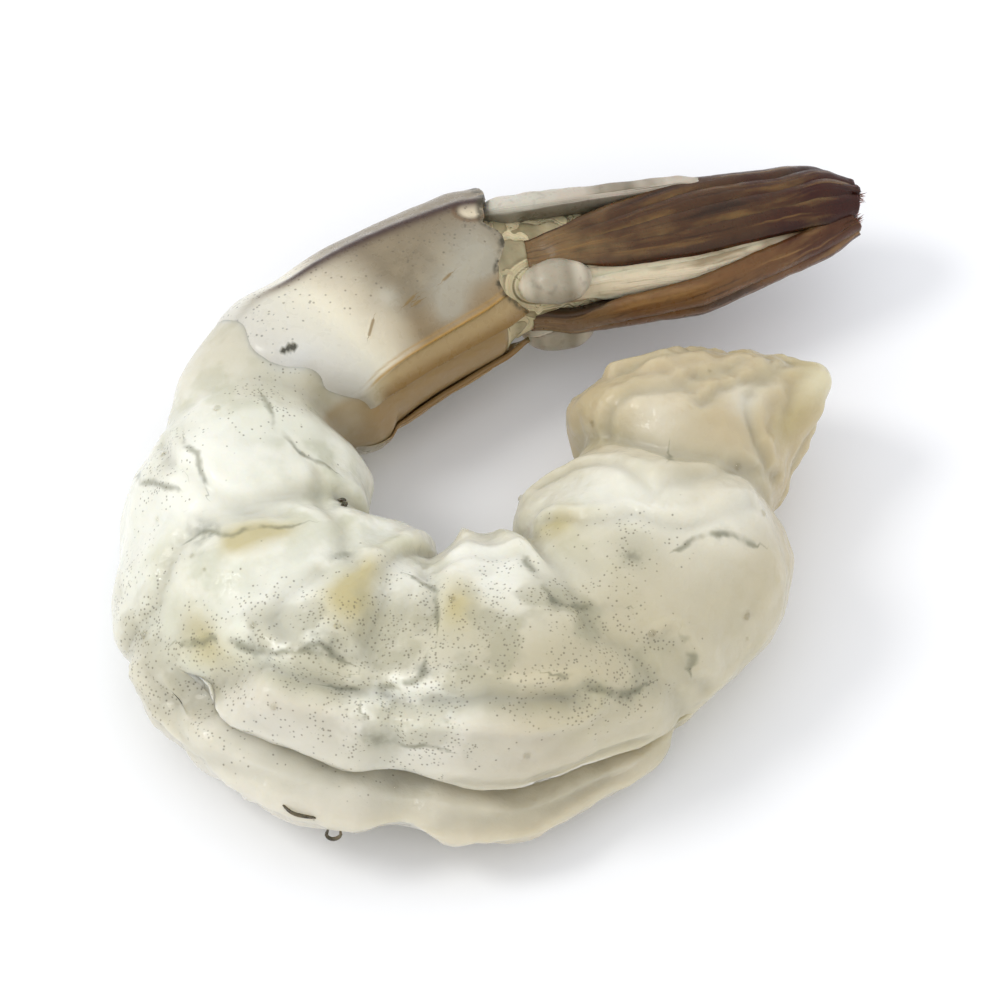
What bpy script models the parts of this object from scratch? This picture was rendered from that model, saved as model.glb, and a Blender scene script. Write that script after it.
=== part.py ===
"""A raw shrimp, peeled and deveined with its tail left on, lying curled on its right side.

Metres, +Z up. The shrimp lies in the XY plane with its back outwards and its left side up,
and the origin is under the middle of its bounding box, on the surface that it lies on.
Sizes below are millimetres. Distance along the body runs from the tail joint to the head.
"""

import math

import bmesh
import bpy
import numpy as np

MM = 0.001

# Each segment's length along the middle of the body and the angle that the body turns over it.
SEGMENTS = (
    ("sixth", 17.6, 12.0),
    ("fifth", 12.0, 47.0),
    ("fourth", 13.0, 26.0),
    ("third", 14.0, 60.0),
    ("second", 14.0, 55.0),
    ("first", 14.0, 36.0),
    ("neck", 13.0, -4.0),
)
BODY_LENGTH = sum(length for _, length, _ in SEGMENTS)
JOINTS = tuple(np.cumsum([length for _, length, _ in SEGMENTS])[:-1])
TAIL_HEADING = 203.0
BEND_BLUR = 5.0
SAMPLE = 0.25
PAST_JOINT = 2.0

# Half the height (back to belly) and half the width (side to side) at places along the body.
PROFILE = (
    (0.0, 6.0, 5.0),
    (8.0, 6.5, 5.7),
    (17.0, 6.9, 6.3),
    (25.0, 7.3, 7.2),
    (34.0, 7.9, 7.9),
    (44.0, 9.7, 8.3),
    (52.0, 11.0, 8.5),
    (66.0, 10.8, 8.5),
    (79.0, 10.3, 8.4),
    (87.0, 9.0, 8.0),
    (93.0, 9.2, 7.8),
    (99.0, 8.8, 7.4),
)
PROFILE_BLUR = 4.0

# How far the section's middle lies towards the back from the bent line, at places along it.
STRAY = (
    (0.0, -0.7),
    (8.0, -1.8),
    (20.0, -1.8),
    (27.0, -0.4),
    (34.0, 1.0),
    (44.0, 0.8),
    (56.0, 0.2),
    (70.0, 0.3),
    (79.0, 0.9),
    (86.0, 0.3),
    (92.0, -0.5),
    (99.0, -0.3),
)
ROUNDNESS = 2.25
BELLY_NARROWING = 0.16

# The body sags flat where it lies, the tail stays a little raised, and the back rolls upwards.
SAG = 0.9
TAIL_LIFT = 2.4
ROLL = 8.0

CREASE_DEPTH = 0.55
CREASE_WIDTH = 1.8
BELLY_NOTCH = 1.5
BELLY_NOTCH_WIDTH = 2.8
SEGMENT_BULGE = 0.5
UNEVENNESS = 0.35

# The cut along the back: where it starts and ends, its depth, its half width at the lips,
# its height above the middle of the body, and how far the lower lip lies out.
CUT_START, CUT_END = 41.0, 79.0
CUT_DEPTH = 6.0
CUT_HALF_WIDTH = 1.3
CUT_HEIGHT_START, CUT_HEIGHT_END = 1.0, -4.6
LOWER_LIP = 3.8
LIP_START, LIP_END = 31.0, 79.0

# What of the section goes on past the shell, as the skin that joins it to the fan.
PLUG = 0.34
PLUG_START, PLUG_END = 3.6, 8.2

NECK_NOTCH = 1.6
NECK_TAPER = 9.0
NECK_LOBE = 5.0
LOBE_TURN = 62.0

SHELL_START, SHELL_END = 2.6, 20.0
SHELL_GAP = 0.3
SHELL_WALL = 0.45
SHELL_SWEEP = 3.0
SHELL_WRAP = 160.0
KEEL = 0.5
EDGE_FLARE = 0.35

# The tail fan, folded: plates on a tapering tube round the fan's own axis.
FAN_START = 4.2
FAN_DROP = 0.6
FAN_HEADING = 10.0
FAN_RISE = 2.0
FAN_HALF_HEIGHT = (5.0, 4.9, 2.3)
FAN_HALF_WIDTH = (3.4, 3.2, 1.8)
TELSON_START, TELSON_LENGTH = 4.0, 19.0
TELSON_HALF_WIDTH, TELSON_HALF_DEPTH = 2.7, 1.5
PLATE_WALL = 0.5
PLATE_RIB = 0.25
FAN_LENGTH = 28.2
# Each plate of the fan: where it starts, its length, the angles round the tube from its back
# that the plate's two edges have at its root and at its full width, and how far it stands out.
PLATES = {
    "endopod_left": (4.6, 23.2, (74.0, 106.0), (50.0, 124.0), 0.0),
    "exopod_left": (6.2, 21.6, (128.0, 148.0), (115.0, 160.0), -0.9),
    "endopod_right": (4.6, 22.8, (-74.0, -106.0), (-50.0, -114.0), 0.0),
    "exopod_right": (6.0, 21.6, (-128.0, -180.0), (-112.0, -200.0), 0.7),
}

# The knobs: the left one's centre along, back and left of the fan's start, and its half sizes.
KNOB_CENTRE = (2.9, -4.1, 3.0)
KNOB_RADII = (2.9, 1.9, 1.7)


# How finely each solid is divided.
FLESH_RINGS, FLESH_SIDES = 96, 44
SHELL_RINGS, SHELL_SIDES = 18, 26
PLATE_RINGS, PLATE_SIDES = 14, 8
SPIKE_RINGS, SPIKE_SIDES = 16, 16
KNOB_RINGS, KNOB_SIDES = 12, 14


def ease(value, low, high):
    """0 below low, 1 above high, with a smooth step between."""
    t = np.clip((value - low) / (high - low), 0.0, 1.0)
    return t * t * (3.0 - 2.0 * t)


def hump(value, centre, width):
    return np.exp(-(((value - centre) / width) ** 2))


def blurred(values, width):
    """A running mean over width millimetres, passed twice, of values a sample apart."""
    count = max(1, int(round(width / SAMPLE)))
    kernel = np.ones(count) / count
    for _ in range(2):
        padded = np.pad(values, count, mode="edge")
        values = np.convolve(padded, kernel, mode="same")[count:-count]
    return values


class Body:
    """The curl's middle line and the size of its section, at any distance along it."""

    def __init__(self):
        self.along = np.arange(-PAST_JOINT, BODY_LENGTH + SAMPLE, SAMPLE)
        ends = np.cumsum([length for _, length, _ in SEGMENTS])
        turns = np.array([turn / length for _, length, turn in SEGMENTS])
        index = np.clip(np.searchsorted(ends, self.along), 0, len(SEGMENTS) - 1)
        turning = blurred(np.where(self.along < 0.0, 0.0, turns[index]), BEND_BLUR)
        heading = np.cumsum(turning) * SAMPLE
        zero = np.searchsorted(self.along, 0.0)
        self.heading = np.radians(heading - heading[zero] + TAIL_HEADING)
        self.x = self.from_joint(np.cos(self.heading), zero)
        self.y = self.from_joint(np.sin(self.heading), zero)
        places, heights, widths = np.array(PROFILE).T
        self.heights = blurred(np.interp(self.along, places, heights), PROFILE_BLUR)
        self.widths = blurred(np.interp(self.along, places, widths), PROFILE_BLUR)
        places, strays = np.array(STRAY).T
        self.stray = blurred(np.interp(self.along, places, strays), PROFILE_BLUR)

    @staticmethod
    def from_joint(steps, zero):
        """The steps added up, counted from the tail joint."""
        total = np.cumsum(steps) * SAMPLE
        return total - total[zero]

    def at(self, s, values):
        return np.interp(s, self.along, values)

    def half_height(self, s):
        return self.at(s, self.heights)

    def half_width(self, s):
        return self.at(s, self.widths)

    def middle_height(self, s):
        """How high the middle of the body lies: it rests sagged, and the tail is lifted."""
        sag = SAG * ease(s, SHELL_END - 3.0, SHELL_END + 15.0)
        return self.half_width(s) - sag + TAIL_LIFT * (1.0 - ease(s, 0.0, 34.0))

    def place(self, s, out, up):
        """Points out (towards the back) and up from the middle line at s."""
        heading = self.at(s, self.heading)
        out = out + self.at(s, self.stray)
        x = self.at(s, self.x) + out * np.sin(heading)
        y = self.at(s, self.y) - out * np.cos(heading)
        return np.stack([x, y, self.middle_height(s) + up], axis=-1)


def section(body, s, angle, swell=0.0):
    """The plain section: out and up from the middle, swollen by a distance all round."""
    cos, sin = np.cos(angle), np.sin(angle)
    power = 2.0 / ROUNDNESS
    out = (body.half_height(s) + swell) * np.sign(cos) * np.abs(cos) ** power
    up = (body.half_width(s) + swell) * np.sign(sin) * np.abs(sin) ** power
    belly = 0.5 * (1.0 - cos)
    return out, up * (1.0 - BELLY_NARROWING * belly**1.5)


def relief(s, angle):
    """How far the flesh stands out or in: creases at the joints, bulges, an uneven surface."""
    belly = 0.5 * (1.0 - np.cos(angle))
    rise = np.zeros(np.broadcast(s, angle).shape)
    for number, joint in enumerate(JOINTS):
        line = joint + 1.5 * np.sin(angle + number) + 1.0 * np.cos(2.0 * angle)
        rise -= CREASE_DEPTH * (0.6 + 0.4 * belly) * hump(s, line, CREASE_WIDTH)
        rise -= BELLY_NOTCH * belly**4 * hump(s, joint, BELLY_NOTCH_WIDTH)
    starts = (0.0,) + JOINTS
    for start, end in zip(starts, JOINTS + (BODY_LENGTH,)):
        middle, half = 0.5 * (start + end), 0.5 * (end - start)
        rise += SEGMENT_BULGE * np.clip(1.0 - ((s - middle) / half) ** 2, 0.0, 1.0)
    rise += UNEVENNESS * np.sin(0.5 * s + 2.0 * angle) * np.sin(2.0 * angle - 0.21 * s)
    rise += 0.5 * UNEVENNESS * np.sin(0.9 * s - 2.0 * angle + 1.0)
    back = 1.0 - belly
    rise -= NECK_NOTCH * back**2 * hump(s, JOINTS[-1] + 1.0, 3.0)
    return rise * ease(s, SHELL_END, SHELL_END + 4.0)


def cut_share(s):
    """How open the cut along the back is: 0 at its ends and beyond them, 1 in its middle."""
    return ease(s, CUT_START, CUT_START + 12.0) * (1.0 - ease(s, CUT_END - 14.0, CUT_END))


def cut_height(s):
    """The cut's height above the middle of the body: high near the tail, low near the head."""
    return CUT_HEIGHT_START + (CUT_HEIGHT_END - CUT_HEIGHT_START) * ease(s, CUT_START, CUT_END)


def cut_angle(body, s):
    """The angle round the body at which the cut lies."""
    share = cut_height(s) / body.half_width(s)
    return np.sign(share) * np.arcsin(np.abs(share) ** (0.5 * ROUNDNESS))


def neck_taper(s):
    """1 along the body, rounding off to 0 at the head end."""
    t = np.clip((s - (BODY_LENGTH - NECK_TAPER)) / NECK_TAPER, 0.0, 1.0)
    return np.sqrt(np.clip(1.0 - t**2.6, 0.0, 1.0))


def tail_taper(s):
    """1 along the body, a thin plug at the tail joint, and rounding off to 0 past it."""
    t = np.clip(-s / PAST_JOINT, 0.0, 1.0)
    plug = PLUG + (1.0 - PLUG) * ease(s, PLUG_START, PLUG_END)
    return plug * np.sqrt(1.0 - t**2.0)


def flesh_points(body, s, angle):
    """The flesh's surface at distances s and angles round the body, in millimetres."""
    out, up = section(body, s, angle)
    size = np.hypot(out, up)
    grown = 1.0 + relief(s, angle) / size
    out, up = out * grown, up * grown

    opened = cut_share(s)
    back = ease(out / body.half_height(s), 0.0, 0.8)
    below = ease(cut_height(s) - up, 0.0, 2.5)
    spread = ease(s, LIP_START, LIP_START + 16.0) * (1.0 - ease(s, LIP_END - 22.0, LIP_END))
    out = out + LOWER_LIP * spread * below * back
    slot = 1.0 - ease(np.abs(up - cut_height(s)), 0.15, CUT_HALF_WIDTH)
    out = out - CUT_DEPTH * opened * slot * ease(out, 0.0, 2.0)

    roll = math.radians(ROLL) * ease(s, 28.0, 44.0) * (1.0 - ease(s, 70.0, 88.0))
    out, up = out * np.cos(roll) - up * np.sin(roll), out * np.sin(roll) + up * np.cos(roll)

    lobes = 1.0 + 0.07 * np.sin(3.0 * angle + 0.6) * ease(s, BODY_LENGTH - 10.0, BODY_LENGTH)
    taper = neck_taper(s) * tail_taper(s) * lobes
    out, up = out * taper, up * taper
    points = body.place(s, out, up)

    lobe = NECK_LOBE * hump(angle, 0.7, 0.55) * ease(s, BODY_LENGTH - NECK_TAPER, BODY_LENGTH - 2.0)
    heading = body.at(s, body.heading) - math.radians(LOBE_TURN)
    shift = lobe * neck_taper(s) ** 0.5
    points[..., 0] += shift * np.cos(heading)
    points[..., 1] += shift * np.sin(heading)
    points[..., 2] = np.maximum(points[..., 2], 0.0)
    return points


def spaced_angles(count):
    """Angles once round, counted from the cut and closer together beside it."""
    t = np.arange(count) / count
    return 2.0 * np.pi * t - 0.6 * np.sin(2.0 * np.pi * t)


def spaced_distances(count):
    """Distances along the body, closer together at its two round ends."""
    t = np.linspace(0.0, 1.0, count)
    eased = t - 0.13 * np.sin(2.0 * np.pi * t) / (2.0 * np.pi) * 6.0
    return -PAST_JOINT + (BODY_LENGTH + PAST_JOINT) * eased


def mesh_object(name, points, faces, material):
    """An object with these points, in millimetres, and faces that point outwards."""
    mesh = bpy.data.meshes.new(name)
    mesh.from_pydata([tuple(p) for p in points * MM], [], faces)
    work = bmesh.new()
    work.from_mesh(mesh)
    bmesh.ops.recalc_face_normals(work, faces=work.faces)
    work.to_mesh(mesh)
    work.free()
    mesh.shade_smooth()
    mesh.materials.append(material)
    obj = bpy.data.objects.new(name, mesh)
    bpy.context.scene.collection.objects.link(obj)
    return obj


def loft(name, rings, material):
    """A closed solid through rings of points, whose first and last ring shrink to a point."""
    count, sides = rings.shape[0], rings.shape[1]
    inner = rings[1:-1].reshape(-1, 3)
    points = np.vstack([inner, rings[0].mean(0), rings[-1].mean(0)])
    first, last = len(points) - 2, len(points) - 1
    faces = []
    for ring in range(count - 3):
        for side in range(sides):
            a, b = ring * sides + side, ring * sides + (side + 1) % sides
            faces.append((a, b, b + sides, a + sides))
    top = (count - 3) * sides
    for side in range(sides):
        after = (side + 1) % sides
        faces.append((first, after, side))
        faces.append((last, top + side, top + after))
    return mesh_object(name, points, faces, material)


def plate(name, outer, inner, material):
    """A closed solid between two grids of points that face each other."""
    rows, columns = outer.shape[0], outer.shape[1]
    points = np.vstack([outer.reshape(-1, 3), inner.reshape(-1, 3)])
    under = rows * columns
    faces = []
    for row in range(rows - 1):
        for column in range(columns - 1):
            a = row * columns + column
            quad = (a, a + 1, a + columns + 1, a + columns)
            faces.append(quad)
            faces.append(tuple(under + p for p in reversed(quad)))
    rim = list(range(columns))
    rim += [row * columns + columns - 1 for row in range(1, rows)]
    rim += [(rows - 1) * columns + column for column in range(columns - 2, -1, -1)]
    rim += [row * columns for row in range(rows - 2, 0, -1)]
    for a, b in zip(rim, rim[1:] + rim[:1]):
        faces.append((a, b, under + b, under + a))
    return mesh_object(name, points, faces, material)


def material(name, colour, roughness):
    made = bpy.data.materials.new(name)
    made.use_nodes = True
    shader = made.node_tree.nodes["Principled BSDF"]
    shader.inputs["Base Color"].default_value = (*colour, 1.0)
    shader.inputs["Roughness"].default_value = roughness
    shader.inputs["Metallic"].default_value = 0.0
    return made


def build_flesh(body, flesh):
    s = spaced_distances(FLESH_RINGS)[:, None]
    angle = spaced_angles(FLESH_SIDES)[None, :] + cut_angle(body, s)
    return loft("flesh", flesh_points(body, s, angle), flesh)


def shell_points(body, s, angle, swell):
    """The tail shell's surface, with its keel along the back and its edges standing off."""
    keel = KEEL * hump(angle, 0.0, 0.16)
    edge = math.radians(SHELL_WRAP)
    flare = EDGE_FLARE * ease(np.abs(angle), edge - 0.5, edge)
    out, up = section(body, s, angle, swell)
    size = np.hypot(out, up)
    grown = 1.0 + (keel + flare) / size
    return body.place(s, out * grown, up * grown)


def build_shell(body, shell):
    """The last segment's shell, open along the belly, with a point at each rear corner."""
    angle = np.radians(np.linspace(-SHELL_WRAP, SHELL_WRAP, SHELL_SIDES))[None, :]
    share = np.linspace(0.0, 1.0, SHELL_RINGS)[:, None]
    swept = SHELL_SWEEP * ease(np.abs(angle), math.radians(50.0), math.radians(SHELL_WRAP))
    rear = SHELL_START + swept - 1.2 * hump(angle, 0.0, 0.3)
    front = SHELL_END + 0.6 * np.cos(2.0 * angle)
    s = rear + (front - rear) * share
    inner = shell_points(body, s, angle, SHELL_GAP)
    outer = shell_points(body, s, angle, SHELL_GAP + SHELL_WALL)
    return plate("tail_shell", outer, inner, shell)


class Fan:
    """The folded fan's axis and its tapering tube, on which the plates lie."""

    def __init__(self, body):
        heading, rise = math.radians(FAN_HEADING), math.radians(FAN_RISE)
        self.start = body.place(np.array(FAN_START), np.array(-FAN_DROP), np.array(0.0))
        self.axis = np.array(
            [math.cos(heading) * math.cos(rise), math.sin(heading) * math.cos(rise), math.sin(rise)]
        )
        self.back = np.array([-math.sin(heading), math.cos(heading), 0.0])
        self.left = np.cross(self.axis, self.back)

    def place(self, along, back, left):
        along, back, left = (np.asarray(v)[..., None] for v in (along, back, left))
        return self.start + along * self.axis + back * self.back + left * self.left

    @staticmethod
    def radii(share):
        """Half the tube's height and width at a share of the fan's length."""
        places = (0.0, 0.5, 1.0)
        return np.interp(share, places, FAN_HALF_HEIGHT), np.interp(share, places, FAN_HALF_WIDTH)


def build_plates(fan, chitin):
    """The four side plates: each a strip of the tube, wider past its root, with two ribs."""
    for name, (start, length, root, full, stand) in PLATES.items():
        share = np.linspace(0.0, 1.0, PLATE_RINGS)[:, None]
        across = np.linspace(0.0, 1.0, PLATE_SIDES + 1)[None, :]
        widened = ease(share, 0.0, 0.45)
        edges = [np.radians(a + (b - a) * widened) for a, b in zip(root, full)]
        tip = 0.22 * ease(share, 0.72, 1.0)
        angle = edges[0] + (edges[1] - edges[0]) * (tip + (1.0 - 2.0 * tip) * across)
        along = start + length * share + 1.0 * np.sin(np.pi * across) * share
        half_height, half_width = fan.radii(along / FAN_LENGTH)
        rib = PLATE_RIB * (hump(across, 0.4, 0.1) + hump(across, 0.7, 0.1))
        faces = []
        for swell in (0.5 * PLATE_WALL, -0.5 * PLATE_WALL):
            raised = swell + stand * ease(share, 0.0, 0.2) + (rib if swell > 0 else 0.0)
            back = (half_height + raised) * np.cos(angle)
            left = (half_width + raised) * np.sin(angle)
            faces.append(fan.place(along, back, left))
        plate(name, faces[0], faces[1], chitin)


def build_telson(fan, chitin):
    """The middle spike: a tapering blade of rounded triangular section, grooved on its back."""
    share = np.linspace(0.0, 1.0, SPIKE_RINGS)[:, None]
    angle = (2.0 * np.pi * np.arange(SPIKE_SIDES) / SPIKE_SIDES)[None, :]
    along = TELSON_START + TELSON_LENGTH * share + 0.0 * angle
    tip = np.sqrt(np.clip(1.0 - share**8, 0.0, 1.0))
    root = np.sqrt(np.clip(1.0 - (1.0 - np.minimum(share / 0.1, 1.0)) ** 2, 0.0, 1.0))
    width = TELSON_HALF_WIDTH * (1.0 - 0.78 * share) * tip * root
    depth = TELSON_HALF_DEPTH * (1.0 - 0.6 * share) * tip * root
    groove = 1.0 - 0.3 * hump(angle, 0.0, 0.5) - 0.3 * hump(angle, 2.0 * np.pi, 0.5)
    half_height, _ = fan.radii(along / FAN_LENGTH)
    back = half_height - 0.2 + depth * np.cos(angle) * groove
    left = width * np.sin(angle) * (1.0 + 0.25 * np.cos(angle))
    loft("telson", fan.place(along, back, left), chitin)


def build_protopods(fan, chitin):
    """The two round knobs that carry the side plates of the fan."""
    turn = np.linspace(0.0, np.pi, KNOB_RINGS)[:, None]
    angle = (2.0 * np.pi * np.arange(KNOB_SIDES) / KNOB_SIDES)[None, :]
    along, back, left = KNOB_CENTRE
    length, height, width = KNOB_RADII
    for name, side in (("protopod_left", 1.0), ("protopod_right", -1.0)):
        reach = along - length * np.cos(turn) + 0.0 * angle
        rise = back + height * np.sin(turn) * np.cos(angle)
        out = side * left + width * np.sin(turn) * np.sin(angle)
        loft(name, fan.place(reach, rise, out), chitin)


def centre_on_origin():
    """Moves every point so that the origin is under the middle of the whole shrimp."""
    meshes = [obj.data for obj in bpy.data.objects if obj.type == "MESH"]
    points = np.array([tuple(v.co) for mesh in meshes for v in mesh.vertices])
    low, high = points.min(0), points.max(0)
    shift = (-0.5 * (low[0] + high[0]), -0.5 * (low[1] + high[1]), -low[2])
    for mesh in meshes:
        for vertex in mesh.vertices:
            vertex.co.x += shift[0]
            vertex.co.y += shift[1]
            vertex.co.z += shift[2]


def main():
    for obj in list(bpy.data.objects):
        bpy.data.objects.remove(obj)
    flesh = material("raw_flesh", (0.78, 0.77, 0.66), 0.3)
    shell = material("tail_shell", (0.36, 0.32, 0.25), 0.3)
    chitin = material("tail_plates", (0.13, 0.07, 0.04), 0.35)
    knob = material("tail_knobs", (0.5, 0.44, 0.33), 0.35)
    body = Body()
    fan = Fan(body)
    build_flesh(body, flesh)
    build_shell(body, shell)
    build_plates(fan, chitin)
    build_telson(fan, chitin)
    build_protopods(fan, knob)
    centre_on_origin()


main()
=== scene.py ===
# %% [markdown]
# # A raw peeled shrimp with its tail left on
# The shrimp lies curled on its right side. Its back is slit where the vein was drawn out, and the
# last ring of shell and the folded tail fan are still on. The measured solids come from the CAD
# frame, and each of them is dressed here with a finer piece in the same place. Lengths are in
# millimetres until a mesh is made.

# %% Load the frame
import itertools
import math

import bmesh
import bpy
import numpy as np
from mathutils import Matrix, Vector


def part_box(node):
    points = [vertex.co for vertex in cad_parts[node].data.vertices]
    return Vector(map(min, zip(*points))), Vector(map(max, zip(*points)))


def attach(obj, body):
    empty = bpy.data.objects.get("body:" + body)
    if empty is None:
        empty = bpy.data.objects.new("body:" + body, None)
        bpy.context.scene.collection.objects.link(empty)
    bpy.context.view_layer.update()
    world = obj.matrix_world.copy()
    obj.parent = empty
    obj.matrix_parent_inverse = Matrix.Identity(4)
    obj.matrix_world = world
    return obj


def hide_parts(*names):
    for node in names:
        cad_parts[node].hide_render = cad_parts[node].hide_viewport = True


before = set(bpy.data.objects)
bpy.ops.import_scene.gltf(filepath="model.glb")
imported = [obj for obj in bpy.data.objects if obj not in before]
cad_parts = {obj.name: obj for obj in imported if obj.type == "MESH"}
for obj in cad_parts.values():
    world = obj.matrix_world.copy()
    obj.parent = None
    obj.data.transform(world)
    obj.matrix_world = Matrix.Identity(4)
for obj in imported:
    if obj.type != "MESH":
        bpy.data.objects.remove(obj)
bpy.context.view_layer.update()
MM = 0.001

# %% [markdown]
# ## Helpers
# Colours are given as the hex codes of a paint program, and Blender wants linear light, so one
# function turns them. One more function adds a node to a tree: values go on its sockets, and a
# socket given as a value is linked.


# %% Colours and nodes
SMOOTH = {"interpolation_type": "SMOOTHSTEP"}


def colour(code):
    """The linear colour of an sRGB hex code."""
    parts = [int(code[i : i + 2], 16) / 255 for i in (1, 3, 5)]
    return tuple(p / 12.92 if p <= 0.04045 else ((p + 0.055) / 1.055) ** 2.4 for p in parts) + (1.0,)


def add(tree, kind, inputs=None, **settings):
    """A new node with these settings, whose inputs are values, or sockets or nodes to link."""
    node = tree.nodes.new(kind)
    for name, value in settings.items():
        setattr(node, name, value)
    for name, value in (inputs or {}).items():
        if isinstance(value, bpy.types.Node):
            value = value.outputs[0]
        if isinstance(value, bpy.types.NodeSocket):
            tree.links.new(value, node.inputs[name])
        else:
            node.inputs[name].default_value = value
    return node


# %% Smooth steps and noise
def ease(value, low, high):
    """0 below low, 1 above high, with a smooth step between."""
    t = np.clip((value - low) / (high - low), 0.0, 1.0)
    return t * t * (3.0 - 2.0 * t)


def hump(value, centre, width):
    return np.exp(-(((value - centre) / width) ** 2))


def noise(points, cell, seed):
    """Smooth noise from -1 to 1 whose lumps are about a cell across."""
    side = 32
    table = np.random.default_rng(seed).uniform(-1.0, 1.0, (side, side, side))
    whole = np.floor(points / cell).astype(int)
    part = points / cell - whole
    part = part * part * (3.0 - 2.0 * part)
    total = np.zeros(points.shape[:-1])
    for corner in itertools.product((0, 1), repeat=3):
        weight = np.prod(np.where(corner, part, 1.0 - part), axis=-1)
        i, j, k = np.moveaxis((whole + corner) % side, -1, 0)
        total += weight * table[i, j, k]
    return total


def lumps(points, layers):
    """Noise in layers of height, cell and seed."""
    return sum(height * noise(points, cell, seed) for height, cell, seed in layers)


# %% [markdown]
# ## The curl
# The tail meat of a shrimp is six rings of muscle round a gut, each a little wedge, so the body
# curls when it lies free. A surface that follows a bent middle line can be made with a curve and
# a bevel, but a slit that runs along the back needs its own section. So the surface is worked out
# as a function of two numbers: the distance along the body from the tail joint, and the angle
# round it from the back. The numbers are the ones of the CAD solids. A segment has a length and
# a turn in degrees. The profile is half the height and half the width at places along the body,
# and the stray is how far the section lies out of the middle line.

# %% Measures of the curl
SEGMENTS = (
    ("sixth", 17.6, 12.0),
    ("fifth", 12.0, 47.0),
    ("fourth", 13.0, 26.0),
    ("third", 14.0, 60.0),
    ("second", 14.0, 55.0),
    ("first", 14.0, 36.0),
    ("neck", 13.0, -4.0),
)
BODY_LENGTH = sum(length for _, length, _ in SEGMENTS)
JOINTS = tuple(np.cumsum([length for _, length, _ in SEGMENTS])[:-1])
TAIL_HEADING = 203.0
BEND_BLUR = 5.0
SAMPLE = 0.25
PAST_JOINT = 2.0
PROFILE = (
    (0.0, 6.0, 5.0), (8.0, 6.5, 5.7), (17.0, 6.9, 6.3), (25.0, 7.3, 7.2), (34.0, 7.9, 7.9),
    (44.0, 9.7, 8.3), (52.0, 11.0, 8.5), (66.0, 10.8, 8.5), (79.0, 10.3, 8.4), (87.0, 9.0, 8.0),
    (93.0, 9.2, 7.8), (99.0, 8.8, 7.4),
)
PROFILE_BLUR = 4.0
STRAY = (
    (0.0, -0.7), (8.0, -1.8), (20.0, -1.8), (27.0, -0.4), (34.0, 1.0), (44.0, 0.8), (56.0, 0.2),
    (70.0, 0.3), (79.0, 0.9), (86.0, 0.3), (92.0, -0.5), (99.0, -0.3),
)
ROUNDNESS = 2.25
BELLY_NARROWING = 0.16
SAG = 0.9
TAIL_LIFT, LIFT_END = 2.4, 34.0
SHELL_END = 20.0


# %% The middle line and the sections
def blurred(values, width):
    """A running mean over width millimetres, passed twice, of values a sample apart."""
    count = max(1, int(round(width / SAMPLE)))
    kernel = np.ones(count) / count
    for _ in range(2):
        padded = np.pad(values, count, mode="edge")
        values = np.convolve(padded, kernel, mode="same")[count:-count]
    return values


class Body:
    """The curl's middle line and the size of its section, at any distance along it."""

    def __init__(self):
        self.along = np.arange(-PAST_JOINT, BODY_LENGTH + SAMPLE, SAMPLE)
        ends = np.cumsum([length for _, length, _ in SEGMENTS])
        turns = np.array([turn / length for _, length, turn in SEGMENTS])
        index = np.clip(np.searchsorted(ends, self.along), 0, len(SEGMENTS) - 1)
        turning = blurred(np.where(self.along < 0.0, 0.0, turns[index]), BEND_BLUR)
        heading = np.cumsum(turning) * SAMPLE
        zero = np.searchsorted(self.along, 0.0)
        self.heading = np.radians(heading - heading[zero] + TAIL_HEADING)
        across, up = np.cumsum(np.cos(self.heading)), np.cumsum(np.sin(self.heading))
        self.x = (across - across[zero]) * SAMPLE
        self.y = (up - up[zero]) * SAMPLE
        places, heights, widths = np.array(PROFILE).T
        self.heights = blurred(np.interp(self.along, places, heights), PROFILE_BLUR)
        self.widths = blurred(np.interp(self.along, places, widths), PROFILE_BLUR)
        places, strays = np.array(STRAY).T
        self.stray = blurred(np.interp(self.along, places, strays), PROFILE_BLUR)

    def at(self, s, values):
        return np.interp(s, self.along, values)

    def half_height(self, s):
        return self.at(s, self.heights)

    def half_width(self, s):
        return self.at(s, self.widths)

    def middle_height(self, s):
        """How high the middle of the body lies: it rests sagged, and the tail is lifted."""
        sag = SAG * ease(s, SHELL_END - 3.0, SHELL_END + 15.0)
        return self.half_width(s) - sag + TAIL_LIFT * (1.0 - ease(s, 0.0, LIFT_END))

    def place(self, s, out, up):
        """Points out (towards the back) and up from the middle line at s."""
        heading = self.at(s, self.heading)
        out = out + self.at(s, self.stray)
        x = self.at(s, self.x) + out * np.sin(heading)
        y = self.at(s, self.y) - out * np.cos(heading)
        return np.stack([x, y, self.middle_height(s) + up], axis=-1)


def section(body, s, angle, swell=0.0):
    """The plain section: out and up from the middle, swollen by a distance all round."""
    cos, sin = np.cos(angle), np.sin(angle)
    power = 2.0 / ROUNDNESS
    out = (body.half_height(s) + swell) * np.sign(cos) * np.abs(cos) ** power
    up = (body.half_width(s) + swell) * np.sign(sin) * np.abs(sin) ** power
    belly = 0.5 * (1.0 - cos)
    return out, up * (1.0 - BELLY_NARROWING * belly**1.5)


body = Body()
print("body length", BODY_LENGTH, "mm, joints at", [float(round(j, 1)) for j in JOINTS])

# %% [markdown]
# ## The slit back and the segments
# A knife opened the back from the fourth segment to the first. The upper side of the cut bulges
# over the lower one, which lies out on the table as a flap. The cut is a slot that pushes the
# surface in, so the surface stays one closed skin and needs no boolean.

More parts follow.
